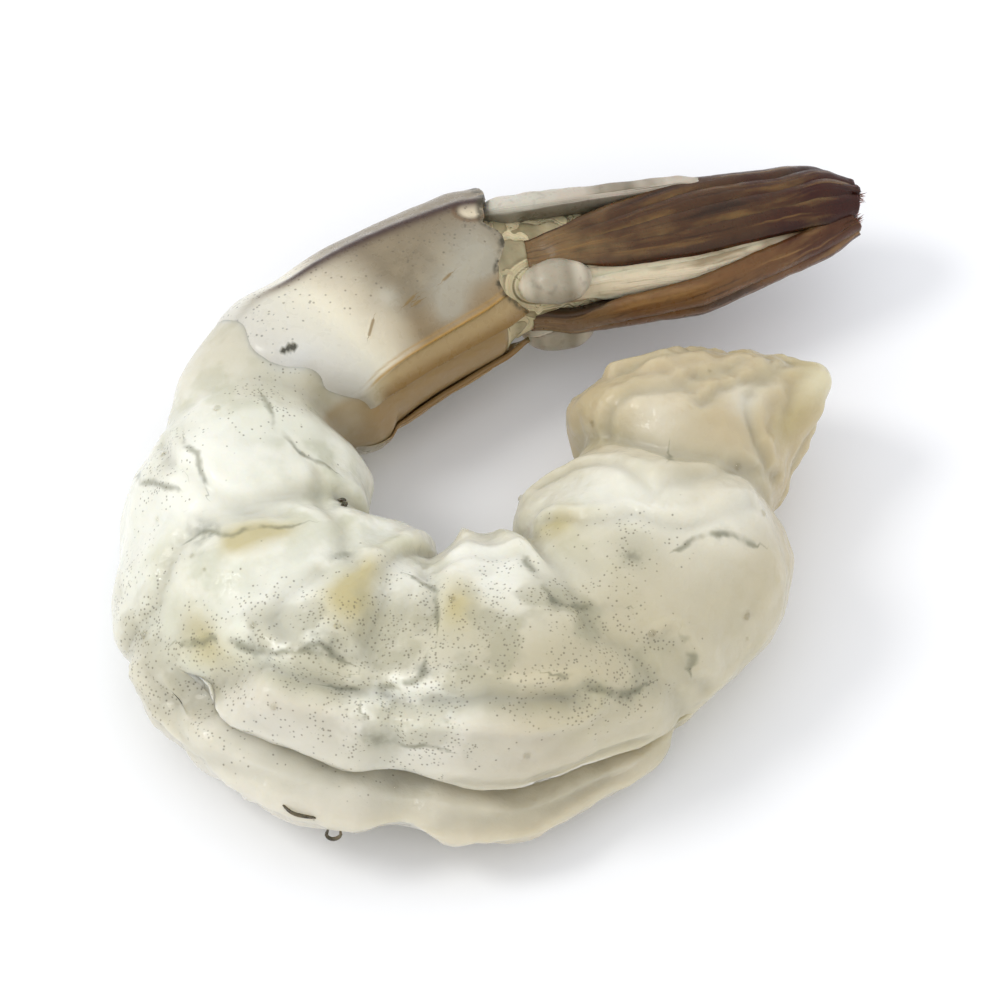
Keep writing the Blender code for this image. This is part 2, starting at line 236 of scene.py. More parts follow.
# %% Measures of the relief and the cut
ROLL, ROLL_START, ROLL_END = 8.0, (28.0, 44.0), (70.0, 88.0)
CREASE_DEPTH, CREASE_WIDTH = 0.55, 1.8
BELLY_NOTCH, BELLY_NOTCH_WIDTH = 1.5, 2.8
SEGMENT_BULGE, UNEVENNESS = 0.5, 0.35
CUT_START, CUT_END, CUT_OPENS, CUT_CLOSES = 41.0, 79.0, 12.0, 14.0
CUT_DEPTH, CUT_HALF_WIDTH, FINE_HALF_WIDTH = 6.0, 1.3, 0.85
CUT_HEIGHT_START, CUT_HEIGHT_END = 1.0, -4.6
LOWER_LIP, CUT_LATE = 3.8, 5.0
LIP_START, LIP_END, LIP_GROWTH, LIP_FADE = 31.0, 79.0, 16.0, 22.0
PLUG, PLUG_START, PLUG_END = 0.34, 3.6, 8.2
HEAD_ROUNDNESS, ROUNDER, LONGER_TAPER = 2.6, 0.6, 3.6
NECK_NOTCH, NECK_TAPER, NECK_LOBE, LOBE_TURN = 1.6, 9.0, 5.0, 62.0
CLOSER_AT_ENDS, CLOSER_AT_CUT = 0.78, 0.6


# %% Relief
def crease_line(number, joint, angle):
    """Where round the body the crease of a joint runs."""
    return joint + 1.5 * np.sin(angle + number) + 1.0 * np.cos(2.0 * angle)


def relief(s, angle):
    """How far the flesh stands out or in: creases at the joints, bulges, an uneven surface."""
    belly = 0.5 * (1.0 - np.cos(angle))
    rise = np.zeros(np.broadcast(s, angle).shape)
    for number, joint in enumerate(JOINTS):
        line = crease_line(number, joint, angle)
        rise -= CREASE_DEPTH * (0.6 + 0.4 * belly) * hump(s, line, CREASE_WIDTH)
        rise -= BELLY_NOTCH * belly**4 * hump(s, joint, BELLY_NOTCH_WIDTH)
    for start, end in zip((0.0,) + JOINTS, JOINTS + (BODY_LENGTH,)):
        middle, half = 0.5 * (start + end), 0.5 * (end - start)
        rise += SEGMENT_BULGE * np.clip(1.0 - ((s - middle) / half) ** 2, 0.0, 1.0)
    rise += UNEVENNESS * np.sin(0.5 * s + 2.0 * angle) * np.sin(2.0 * angle - 0.21 * s)
    rise += 0.5 * UNEVENNESS * np.sin(0.9 * s - 2.0 * angle + 1.0)
    rise -= NECK_NOTCH * (1.0 - belly) ** 2 * hump(s, JOINTS[-1] + 1.0, 3.0)
    return rise * ease(s, SHELL_END, SHELL_END + 4.0)


# %% The cut and the ends
def cut_height(s):
    """The cut's height above the middle of the body: high near the tail, low near the head."""
    return CUT_HEIGHT_START + (CUT_HEIGHT_END - CUT_HEIGHT_START) * ease(s, CUT_START, CUT_END)


def cut_angle(s):
    """The angle round the body at which the cut lies."""
    share = cut_height(s) / body.half_width(s)
    return np.sign(share) * np.arcsin(np.abs(share) ** (0.5 * ROUNDNESS))


def taper(s, soft):
    """1 along the body, rounding off to 0 at the head, with a thin plug at the tail joint."""
    roundness = HEAD_ROUNDNESS - ROUNDER * soft
    length = NECK_TAPER + LONGER_TAPER * soft
    head = np.clip((s - (BODY_LENGTH - length)) / length, 0.0, 1.0)
    tail = np.clip(-s / PAST_JOINT, 0.0, 1.0)
    plug = PLUG + (1.0 - PLUG) * ease(s, PLUG_START, PLUG_END)
    return plug * np.sqrt(1.0 - tail**2) * np.sqrt(np.clip(1.0 - head**roundness, 0.0, 1.0))


def in_slot(s, up, out, soft):
    """1 in the middle of the cut's slot, 0 clear of it."""
    late = CUT_LATE * soft
    opened = ease(s, CUT_START + late, CUT_START + CUT_OPENS + 0.5 * late)
    opened = opened * (1.0 - ease(s, CUT_END - CUT_CLOSES, CUT_END))
    half = CUT_HALF_WIDTH + (FINE_HALF_WIDTH - CUT_HALF_WIDTH) * soft
    slot = 1.0 - ease(np.abs(up - cut_height(s)), 0.15, half)
    return opened * slot * ease(out, 0.0, 2.0)


# %% The flesh's surface
def flesh_surface(s, angle, soft=0.0):
    """The flesh's surface, and how deep in the cut each point is, from 0 to 1.

    Soft is 0 for the CAD's surface. At 1 the cut is thinner and opens later, with a slope in place
    of the step before it, and the neck is rounder.
    """
    late = CUT_LATE * soft
    size = taper(s, soft)
    out, up = section(body, s, angle)
    grown = 1.0 + relief(s, angle) / np.hypot(out, up)
    out, up = out * grown, up * grown
    back = ease(out / body.half_height(s), 0.0, 0.8)
    slope = late * (1.0 - ease(s, CUT_START + late, CUT_START + 3.0 * late + 0.1))
    below = ease(cut_height(s) - up, -slope, 2.5 + 0.3 * slope)
    spread = ease(s, LIP_START, LIP_START + LIP_GROWTH) * (1.0 - ease(s, LIP_END - LIP_FADE, LIP_END))
    out = out + LOWER_LIP * spread * below * back
    inside = in_slot(s, up, out, soft)
    out = out - CUT_DEPTH * inside
    roll = math.radians(ROLL) * ease(s, *ROLL_START) * (1.0 - ease(s, *ROLL_END))
    out, up = out * np.cos(roll) - up * np.sin(roll), out * np.sin(roll) + up * np.cos(roll)
    lobes = 1.0 + 0.07 * np.sin(3.0 * angle + 0.6) * ease(s, BODY_LENGTH - 10.0, BODY_LENGTH)
    points = body.place(s, out * size * lobes, up * size * lobes)
    lobe = NECK_LOBE * hump(angle, 0.7, 0.55 + 0.3 * soft)
    lobe = lobe * ease(s, BODY_LENGTH - NECK_TAPER, BODY_LENGTH - 2.0)
    shift = lobe * (1.0 + 0.3 * soft) * size ** (0.5 + 0.3 * soft)
    heading = body.at(s, body.heading) - math.radians(LOBE_TURN)
    points[..., 0] += shift * np.cos(heading)
    points[..., 1] += shift * np.sin(heading)
    points[..., 2] = np.maximum(points[..., 2], 0.0)
    return points, inside


def flesh_grid(rings, sides):
    """Distances and angles spread over the flesh, closer together at its ends and by the cut."""
    t = np.linspace(0.0, 1.0, rings)
    t = t - CLOSER_AT_ENDS * np.sin(2.0 * np.pi * t) / (2.0 * np.pi)
    s = (-PAST_JOINT + (BODY_LENGTH + PAST_JOINT) * t)[:, None]
    turn = np.arange(sides) / sides
    angle = 2.0 * np.pi * turn - CLOSER_AT_CUT * np.sin(2.0 * np.pi * turn)
    return s, angle[None, :] + cut_angle(s)


# %% [markdown]
# The CAD centred its solids, so the same coarse flesh is worked out once more here, and the step
# from its corner to the corner of the CAD node is how far everything moves.

# %% Where the CAD put it
s, angle = flesh_grid(96, 44)
coarse, _ = flesh_surface(s, angle)
corner = np.array(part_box("flesh")[0]) / MM
SHIFT = corner - coarse[1:-1].reshape(-1, 3).min(0)
print("the frame lies", SHIFT.round(3), "mm from the tail joint")

# %% [markdown]
# ## From points to pieces
# Most pieces below are grids of points. A loft closes a grid of rings at both ends, and a plate
# closes two grids that face each other. A node tree grows the others from points. Numbers that
# the materials need, such as how far along the body a point is, go with the points as
# attributes.


# %% Objects with marks
def outward(mesh):
    """Turns a closed mesh's faces to the outside."""
    work = bmesh.new()
    work.from_mesh(mesh)
    bmesh.ops.recalc_face_normals(work, faces=work.faces)
    work.to_mesh(mesh)
    work.free()
    mesh.shade_smooth()


def linked(name, data):
    """A new object in the scene."""
    obj = bpy.data.objects.new(name, data)
    bpy.context.scene.collection.objects.link(obj)
    return obj


def put_marks(mesh, marks):
    """Keeps a number, or a vector, with each point of a mesh."""
    for label, values in marks.items():
        values = np.asarray(values, np.float32)
        kind, key = ("FLOAT", "value") if values.size == len(mesh.vertices) else ("FLOAT_VECTOR", "vector")
        mesh.attributes.new(label, kind, "POINT").data.foreach_set(key, values.ravel())


def bare(name, points, edges=(), faces=(), marks=None):
    """An object of points, in millimetres from the tail joint, with marks on them."""
    mesh = bpy.data.meshes.new(name)
    mesh.from_pydata(((points + SHIFT) * MM).tolist(), edges, faces)
    put_marks(mesh, marks or {})
    return linked(name, mesh)


def piece(name, points, faces, coating, marks):
    """A closed piece with its material."""
    made = bare(name, points, (), faces, marks)
    outward(made.data)
    made.data.materials.append(coating)
    return made


# %% Lofts and plates
def ring_grid(rings, sides):
    """Shares from 0 to 1 along a grid of rings, and the angles round them."""
    return np.linspace(0.0, 1.0, rings)[:, None], (2.0 * np.pi * np.arange(sides) / sides)[None, :]


def capped(grid):
    """The grid's inner rings in one list, then the means of its first and its last ring."""
    inner = grid[1:-1].reshape(-1, *grid.shape[2:])
    return np.concatenate([inner, grid[:1].mean(axis=1), grid[-1:].mean(axis=1)])


def loft(name, rings, coating, marks):
    """A closed skin through rings of points, whose first and last ring shrink to a point."""
    count, sides = rings.shape[:2]
    near = np.arange((count - 3) * sides)
    after = np.where((near + 1) % sides == 0, near + 1 - sides, near + 1)
    faces = np.stack([near, after, after + sides, near + sides], axis=1).tolist()
    first, last, top = (count - 2) * sides, (count - 2) * sides + 1, (count - 3) * sides
    for side in range(sides):
        beside = (side + 1) % sides
        faces += [(first, beside, side), (last, top + side, top + beside)]
    fields = {label: capped(np.broadcast_to(v, (count, sides))) for label, v in marks.items()}
    return piece(name, capped(rings), faces, coating, fields)


def plate(name, outer, inner, coating, marks):
    """A closed skin round two grids of points that face each other."""
    rows, columns = outer.shape[:2]
    under = rows * columns
    start = (np.arange(rows - 1)[:, None] * columns + np.arange(columns - 1)[None, :]).ravel()
    quads = np.stack([start, start + 1, start + columns + 1, start + columns], axis=1)
    faces = quads.tolist() + (under + quads[:, ::-1]).tolist()
    rim = list(range(columns))
    rim += [row * columns + columns - 1 for row in range(1, rows)]
    rim += [(rows - 1) * columns + column for column in range(columns - 2, -1, -1)]
    rim += [row * columns for row in range(rows - 2, 0, -1)]
    faces += [(a, b, under + b, under + a) for a, b in zip(rim, rim[1:] + rim[:1])]
    points = np.vstack([outer.reshape(-1, 3), inner.reshape(-1, 3)])
    twice = {k: np.tile(np.broadcast_to(v, (rows, columns)).ravel(), 2) for k, v in marks.items()}
    return piece(name, points, faces, coating, twice)


def normals(points):
    """The outward direction at each point of a grid of rings."""
    along = np.gradient(points, axis=0)
    across = np.roll(points, -1, axis=1) - np.roll(points, 1, axis=1)
    found = np.cross(along, across)
    found /= np.linalg.norm(found, axis=-1, keepdims=True) + 1e-9
    outwards = (found * (points - points.mean(axis=1, keepdims=True))).sum()
    return found * np.sign(outwards)


# %% What a node tree grows
def grown(name, source, tree, values):
    """The plain mesh piece that a node tree makes of the source, which is then removed."""
    modifier = source.modifiers.new("grow", "NODES")
    modifier.node_group = tree
    for item in tree.interface.items_tree:
        if item.item_type == "SOCKET" and item.in_out == "INPUT" and item.name in values:
            modifier[item.identifier] = values[item.name]
    graph = bpy.context.evaluated_depsgraph_get()
    mesh = bpy.data.meshes.new_from_object(source.evaluated_get(graph), depsgraph=graph)
    bpy.data.objects.remove(source)
    mesh.name = name
    outward(mesh)
    print(name, len(mesh.polygons), "faces")
    return linked(name, mesh)


# %% [markdown]
# ## Marks on the flesh
# Raw shrimp flesh is see-through and greyish, with milky patches where the muscle has set, rows
# of tiny dark pigment cells under the skin, olive stains by the gut, and thin folds in the
# membrane that holds it all. They could be painted on a texture, but this part carries no
# pictures. So each mark has its place on the body (millimetres along, degrees round, size), and
# becomes a field that the material reads. A fold keeps its signed distance, which stays sharp
# between two points of the mesh.

# %% Where the marks are
MILKY = (
    (38.9, 74, 4.0), (39.5, 47, 3.0), (50.5, 67, 3.0), (49.6, 51, 2.0), (55.7, 95, 2.0),
    (64.5, 98, 3.5), (60.6, 103, 2.5), (78.0, 115, 4.0, 0.5), (77.8, 92, 3.0, 0.5), (58.6, 40, 3.0),
    (57.3, 35, 2.0), (77.9, 61, 3.0, 0.5), (81.4, 51, 3.0, 0.5), (87.0, 100, 2.2, 0.4),
    (90.0, 62, 1.6, 0.5), (51.3, -4, 5.0, 0.4), (57.9, 5, 4.0, 0.5), (37.5, 6, 5.0, 0.7),
    (93.6, 35, 1.5), (27.5, 99, 1.1),
)
OLIVE = (
    (44.1, 64, 1.2), (44.5, 73, 1.2), (44.8, 83, 1.0), (72.3, 108, 1.5), (52.8, 76, 1.8),
    (52.7, 85, 1.3), (60.3, 84, 1.5), (94.5, 36, 2.6, 0.8), (90.0, 30, 2.0, 0.5), (47.7, 23, 1.5),
)
SPECKLED = (
    (35.9, 37, 3.0, 0.7), (42.5, 3, 2.5, 0.5), (45.8, 0, 3.0, 0.6), (48.3, 12, 3.0, 0.6),
    (33.1, 100, 3.0, 0.3), (30.6, 91, 2.5, 0.5), (51.6, 51, 3.0, 0.6), (50.3, 52, 2.0, 0.5),
    (54.8, 74, 3.5, 0.7), (57.5, 58, 3.5, 0.7), (54.8, 57, 3.0, 0.5), (59.8, 72, 3.0, 0.7),
    (62.4, 60, 3.5, 0.8), (64.3, 76, 3.0, 0.7), (66.7, 62, 3.0, 0.8), (67.2, 42, 3.0, 0.8),
    (68.4, 26, 2.5, 0.6), (56.8, 22, 3.0, 0.9), (59.6, 20, 2.0, 0.4), (67.5, 72, 2.0, 0.7),
    (74.1, 77, 2.0, 0.7), (71.7, 108, 1.5, 0.3), (50.0, 41, 2.0, 0.5),
)
FOLDS = (
    ((31.5, 90), (34.9, 97), (37.2, 107), (38.5, 122)),
    ((35.6, 53), (37.7, 60), (39.5, 60)),
    ((35.6, 13), (37.7, 35), (39.3, 47)),
    ((42.5, 45), (42.9, 54), (43.5, 64), (44.1, 79), (44.9, 88)),
    ((47.2, 17), (48.5, 30), (49.8, 38), (51.2, 44), (52.7, 54), (54.1, 52)),
    ((54.2, 38), (55.4, 41), (57.2, 46), (58.5, 51), (58.7, 59)),
    ((66.9, 98), (66.8, 86), (67.0, 76), (68.2, 71), (70.0, 62)),
    ((75.8, 64), (77.5, 60), (78.3, 54), (79.0, 40)),
    ((56.1, 26), (56.6, 17), (57.5, 12), (58.9, 17), (59.6, 16)),
    ((65.2, 43), (66.7, 33), (68.2, 23), (69.0, 21)),
    ((71.9, 31), (71.9, 15)),
    ((56.1, 96), (58.2, 91), (58.6, 77)),
    ((84.1, 92), (82.6, 90)),
)
SOFT_FOLDS = (
    ((78.1, 145), (80.9, 134), (80.9, 109), (79.9, 95), (78.2, 88)),
    ((78.2, 88), (81.4, 79), (84.3, 57), (86.7, 10)),
    ((58.2, 106), (62.3, 109), (66.5, 101), (67.5, 85), (67.1, 73)),
    ((34.0, 28), (38.3, 54), (41.1, 66), (43.2, 88)),
    ((39.0, 114), (47.3, 101), (51.5, 91)),
    ((72.8, 120), (73.2, 98), (76.3, 89), (77.4, 70), (81.0, 51)),
    ((50.1, 54), (49.4, 65), (49.8, 82)),
    ((58.0, 74), (57.9, 93), (57.1, 102)),
    ((70.9, 37), (71.3, 21), (72.0, -4)),
    ((47.9, -18), (49.4, -17), (51.0, -8)),
    ((59.8, -19), (61.7, -18), (63.6, -21), (66.2, -27)),
    ((97.5, 78), (94.0, 66), (90.0, 60), (87.0, 48), (86.0, 30)),
    ((98.0, 40), (95.0, 20), (91.0, 8), (88.0, -10)),
    ((86.0, 130), (89.0, 112), (90.0, 92), (93.0, 78)),
    ((92.0, 128), (93.5, 108), (96.0, 92)),
    ((88.5, 84), (90.5, 72), (94.5, 56)),
    ((47.0, -14), (53.0, -6), (60.0, -4), (68.0, -10)),
)
BLOTS = (
    (73.3, 75, 0.7), (41.8, 121, 0.8), (43.8, 115, 0.7), (49.6, 94, 0.7), (42.6, 48, 0.9),
    (42.9, 56, 0.6), (52.7, 54, 0.9), (58.6, 55, 0.6), (49.8, 38, 0.6), (56.6, 17, 0.7),
    (68.4, 22, 0.6), (67.0, 76, 0.5), (78.0, 57, 0.5), (27.4, 94, 0.45), (27.9, 92, 0.3),
)
LIP_FURROW = ((48.0, -4), (50.8, 34), (54.5, 38), (57.8, 39), (61.5, 41), (65.2, 32))
GIRTH = 9.3


# %% Fields from the marks
def flat_map(s, angle):
    """The surface rolled out flat: millimetres along, and millimetres round from the back."""
    along, turn = np.broadcast_arrays(s, (angle + np.pi) % (2.0 * np.pi) - np.pi)
    return np.stack([along, turn * GIRTH], axis=-1)


def spots(place, marks):
    """How much each point lies in the marks, from 0 to 1."""
    total = np.zeros(place.shape[:-1])
    for along, degrees, radius, *share in marks:
        away = place - np.array([along, math.radians(degrees) * GIRTH])
        total += (share[0] if share else 1.0) * hump(np.hypot(away[..., 0], away[..., 1]), 0.0, radius)
    return np.clip(total, 0.0, 1.0)


def folds(place, lines, reach):
    """The signed distance to the nearest line, and 1 near a line that fades out by reach."""
    nearest = np.full(place.shape[:-1], 1e3)
    for line in lines:
        path = np.array([(a, math.radians(d) * GIRTH) for a, d in line])
        for start, end in zip(path[:-1], path[1:]):
            step = end - start
            away = place - start
            share = np.clip(away @ step / (step @ step), 0.0, 1.0)
            off = away - share[..., None] * step
            side = np.sign(step[0] * off[..., 1] - step[1] * off[..., 0])
            distance = np.hypot(off[..., 0], off[..., 1]) * np.where(side == 0.0, 1.0, side)
            nearest = np.where(np.abs(distance) < np.abs(nearest), distance, nearest)
    return nearest, 1.0 - ease(np.abs(nearest), 0.5 * reach, reach)


# %% [markdown]
# ## The flesh
# The skin of the flesh is a fine grid on the same surface, moved in and out by relief that the
# solid can't hold: wobbling creases, lumps of muscle, the swollen milky patches, folds, a rough
# cut and a torn neck. The relief fades where the shrimp presses on the table, so that it rests
# flat.

# %% Fine relief
FLESH_RINGS, FLESH_SIDES = 410, 240
MUSCLE = ((0.32, 6.0, 1), (0.2, 2.6, 2), (0.08, 1.1, 3))
LIP_LUMPS = ((0.5, 2.6, 9), (0.25, 1.2, 10))
CUT_LUMPS = ((0.5, 1.6, 5), (0.25, 0.8, 6))
TORN_LUMPS = ((0.75, 2.6, 7), (0.3, 1.1, 8))
TORN_LENGTH = 13.0
FIRST_CREASE = 0.25
s, angle = flesh_grid(FLESH_RINGS, FLESH_SIDES)
skin, inside = flesh_surface(s, angle, 1.0)
unmoved = flat_map(s, angle)
place = unmoved + 0.4 * np.stack([noise(skin, 2.2, 11), noise(skin, 2.2, 12)], axis=-1)
milky = spots(place, MILKY)
fold_side, fold_near = folds(place, FOLDS, 1.6)
soft_side, soft_near = folds(place, SOFT_FOLDS, 2.4)
lip_side, lip_near = folds(place, (LIP_FURROW,), 3.5)

rise = lumps(skin, MUSCLE)
wobble = 1.1 * noise(skin, 4.5, 4)
# The hollows: soft folds, the lip's furrow and the joints' creases. The material darkens them: partly
# clearer flesh, partly painted shade.
shaded_clear_hollows = 0.8 * hump(soft_side, 0.0, 0.8) * soft_near + hump(lip_side, -0.2, 0.9) * lip_near
for number, joint in enumerate(JOINTS[1:], 1):
    line = crease_line(number, joint, angle) + wobble
    strength = FIRST_CREASE if number == 1 else 1.0
    rise += strength * (0.25 * hump(s, line - 1.6, 1.3) - 0.4 * hump(s, line, 0.7))
    shaded_clear_hollows = shaded_clear_hollows + strength * hump(s, line, 1.1)
rise += 0.4 * milky
rise -= 0.08 * hump(fold_side, 0.0, 0.4) * fold_near
rise -= 0.32 * hump(soft_side, 0.0, 0.6) * soft_near
rise += 0.14 * hump(soft_side, 1.1, 0.7) * soft_near
rise -= 1.0 * hump(lip_side, 0.0, 0.9) * lip_near
lip_place = ease(cut_height(s) - (skin[..., 2] - body.middle_height(s)), -0.5, 1.5) * ease(s, 40.0, 52.0)
rise += lip_place * lumps(skin, LIP_LUMPS) * ease(np.cos(angle), 0.0, 0.4)
rise += 0.35 * hump(np.abs(lip_side), 1.9, 1.0) * lip_near
rise += inside * lumps(skin, CUT_LUMPS)
rise += ease(s, BODY_LENGTH - TORN_LENGTH, BODY_LENGTH - 3.0) * lumps(skin, TORN_LUMPS)
rise *= ease(s, 26.0, 33.0) * ease(skin[..., 2], 0.0, 1.4)
rise *= ease(BODY_LENGTH - s, 0.0, 0.8)
skin_normals = normals(skin)
skin = skin + rise[..., None] * skin_normals
skin[..., 2] = np.maximum(skin[..., 2], 0.0)
print("fine relief from", rise.min().round(2), "to", rise.max().round(2), "mm")

# %% [markdown]
# Raw shrimp muscle is wet protein gel: light goes a few millimetres into it and comes out
# spread, so it looks soft and a little glassy, and a film of water gives it a sharp gloss over
# a dull one. That is subsurface scattering under a thin coat. Pale fibres run along the body: they
# are noise on the straightened body, drawn out lengthwise. The pigment dots are the cells of a
# Voronoi pattern 0.3 mm apart, kept only where the speckle field says so, over a faint smudge of
# the same pigment deeper down. The colours lie over each other as layers: how much, how strong
# and which one. The shell and the fan are painted in layers too, so a few short functions do what
# the materials share: the start, pigment dots, lines, and the layers with shine and bumps.


# %% What the materials share
def material(name):
    """A new material, its tree, its shader and the points in the object's own space."""
    made = bpy.data.materials.new(name)
    made.use_nodes = True
    tree = made.node_tree
    return made, tree, tree.nodes["Principled BSDF"], add(tree, "ShaderNodeTexCoord").outputs["Object"]


def marks_in(tree, names):
    """The number that each of these attributes has at a point."""
    return {name: add(tree, "ShaderNodeAttribute", attribute_name=name).outputs["Fac"] for name in names}


def pigment_dots(tree, spot, apart, edge, crowd, most):
    """Dots in cells this far apart, kept in the share of the cells that crowd times most gives."""
    cells = add(tree, "ShaderNodeTexVoronoi", {"Vector": spot, "Scale": 1.0 / (apart * MM)})
    dot = add(tree, "ShaderNodeMapRange", {0: cells.outputs["Distance"], 1: edge[0], 2: edge[1]}, **SMOOTH)
    pick = add(tree, "ShaderNodeSeparateColor", {0: cells.outputs["Color"]})
    share = add(tree, "ShaderNodeMath", {0: crowd, 1: most}, operation="MULTIPLY")
    kept = add(tree, "ShaderNodeMath", {0: pick, 1: share}, operation="LESS_THAN")
    return add(tree, "ShaderNodeMath", {0: dot, 1: kept}, operation="MULTIPLY")


def drawn_line(tree, side, near, edge):
    """A line, by the signed distance to it, where near allows it."""
    off = add(tree, "ShaderNodeMath", {0: side}, operation="ABSOLUTE")
    line = add(tree, "ShaderNodeMapRange", {0: off, 1: edge[0], 2: edge[1]}, **SMOOTH)
    return add(tree, "ShaderNodeMath", {0: line, 1: near}, operation="MULTIPLY")


def coat_with(tree, shader, code, layers, fine, shine, height, strength, depth, values):
    """Sets a shader: layers of colour by share and strength, shine and bumps by noise, plain values.

    It hands back the bumps.
    """
    base = colour(code)
    for share, opacity, code in layers:
        share = add(tree, "ShaderNodeMath", {0: share, 1: opacity}, operation="MULTIPLY")
        base = add(tree, "ShaderNodeMix", {0: share, 6: base, 7: colour(code)}, data_type="RGBA").outputs[2]
    rough = add(tree, "ShaderNodeMapRange", {0: fine, 1: 0.3, 2: 0.7, 3: shine[0], 4: shine[1]}, **SMOOTH)
    bump = add(tree, "ShaderNodeBump", {"Strength": strength, "Distance": depth * MM, "Height": height})
    tree.links.new(base, shader.inputs["Base Color"])
    tree.links.new(rough.outputs[0], shader.inputs["Roughness"])
    tree.links.new(bump.outputs[0], shader.inputs["Normal"])
    for label, value in values.items():
        shader.inputs[label].default_value = value
    return bump.outputs[0]


# %% Raw flesh material
FLESH_MARKS = (
    "milky", "olive", "speckled", "blot", "fold_side", "fold_near", "inside", "lip", "shelly",
    "strip", "warm_tone_and_shade", "neck", "shaded_clear_hollows", "along", "out", "up",
)  # fmt: skip


def raw_flesh():
    """Wet raw muscle: clear grey-white gel with milky patches and dark pigment dots."""
    made, tree, shader, spot = material("raw_shrimp_flesh")
    mark = marks_in(tree, FLESH_MARKS)
    cloud = add(tree, "ShaderNodeTexNoise", {"Vector": spot, "Scale": 1.0 / (3.6 * MM), "Detail": 3.0})
    fine = add(tree, "ShaderNodeTexNoise", {"Vector": spot, "Scale": 1.0 / (1.0 * MM), "Detail": 3.0})
    pale = add(tree, "ShaderNodeMapRange", {0: cloud, 1: 0.42, 2: 0.58}, **SMOOTH)
    grains = add(tree, "ShaderNodeMapRange", {0: fine, 1: 0.3, 2: 0.7}, **SMOOTH)
    straight = add(tree, "ShaderNodeCombineXYZ", {0: mark["along"], 1: mark["out"], 2: mark["up"]})
    strands = add(tree, "ShaderNodeTexNoise", {"Vector": straight, "Scale": 1.1, "Detail": 3.0})
    fibres = add(tree, "ShaderNodeMapRange", {0: strands, 1: 0.42, 2: 0.62}, **SMOOTH)
    smudge = add(tree, "ShaderNodeMath", {0: mark["speckled"], 1: pale}, operation="MULTIPLY")
    blot = add(tree, "ShaderNodeMath", {0: mark["blot"], 1: grains}, operation="MULTIPLY")

    frayed = add(tree, "ShaderNodeMath", {0: fine, 1: 0.6, 2: mark["fold_side"]}, operation="MULTIPLY_ADD")
    centred = add(tree, "ShaderNodeMath", {0: frayed, 1: 0.3}, operation="SUBTRACT")
    line = drawn_line(tree, centred, mark["fold_near"], (0.42, 0.02))
    gaps = add(tree, "ShaderNodeTexNoise", {"Vector": spot, "Scale": 1.0 / (2.2 * MM)})
    gaps = add(tree, "ShaderNodeMapRange", {0: gaps, 1: 0.38, 2: 0.58}, **SMOOTH)
    line = add(tree, "ShaderNodeMath", {0: line, 1: gaps}, operation="MULTIPLY")

    clumped = add(tree, "ShaderNodeMath", {0: mark["speckled"], 1: gaps}, operation="MULTIPLY")
    dots = pigment_dots(tree, spot, 0.31, (0.4, 0.12), clumped, 2.2)

    layers = (
        (pale, 0.9, "#dfdecf"),
        (fibres, 0.4, "#ebebe1"),
        # Darker and warmer towards the head: partly the flesh's own tone, partly painted shade and painted
        # warm reflected light.
        (mark["warm_tone_and_shade"], 0.8, "#b8ae91"),
        (mark["neck"], 0.78, "#b6a37c"),
        (mark["lip"], 0.65, "#bdb4a3"),
        (mark["shelly"], 0.8, "#a39678"),
        (mark["strip"], 0.9, "#a08354"),
        (mark["inside"], 0.6, "#d6c9a6"),
        # Darker in the hollows: partly clearer flesh, partly painted shade.
        (mark["shaded_clear_hollows"], 0.45, "#a9a388"),
        (mark["milky"], 0.8, "#e9e9df"),
        (mark["olive"], 0.75, "#b3a56a"),
        (smudge, 0.6, "#9f9b80"),
        (line, 0.6, "#6f6f55"),
        (blot, 0.6, "#5f604c"),
        (dots, 0.62, "#5d5542"),
    )
    pits = add(tree, "ShaderNodeMath", {0: strands, 1: 1.2, 2: fine}, operation="MULTIPLY_ADD")
    values = {
        "IOR": 1.38,
        "Subsurface Weight": 0.9,
        "Subsurface Radius": (1.0, 0.88, 0.7),
        "Subsurface Scale": 2.4 * MM,
        "Coat Weight": 0.55,
        "Coat Roughness": 0.05,
        "Coat IOR": 1.33,
    }
    bumps = coat_with(tree, shader, "#c8c8b4", layers, fine, (0.36, 0.55), pits, 0.55, 0.25, values)
    tree.links.new(bumps, shader.inputs["Coat Normal"])
    return made


flesh_material = raw_flesh()
print("raw flesh:", len(flesh_material.node_tree.nodes), "nodes")

# %% Flesh piece
FIBRE_ALONG, FIBRE_ACROSS = 0.22, 0.1
PAST_FURROW, NEAR_SHELL, HIDDEN_FROM = (62.0, 70.0), (25.0, 35.0), -95.0
turn = np.degrees((angle + np.pi) % (2.0 * np.pi) - np.pi)
past_furrow = ease(s, *PAST_FURROW)
lip_edge = np.interp(s, *np.array(LIP_FURROW, float).T) * (1.0 - past_furrow)
lip_edge = lip_edge + np.degrees(cut_angle(s)) * past_furrow + 14.0 * (1.0 - ease(s, 48.0, 52.0))
below_cut = ease(lip_edge - turn, 0.0, 14.0) * (turn > HIDDEN_FROM)
lip_along = ease(s, LIP_START + 9.0, LIP_START + 18.0) * (1.0 - ease(s, LIP_END - 24.0, LIP_END - 4.0))
near_shell = 1.0 - ease(s + 1.5 * noise(skin, 3.0, 13), *NEAR_SHELL)
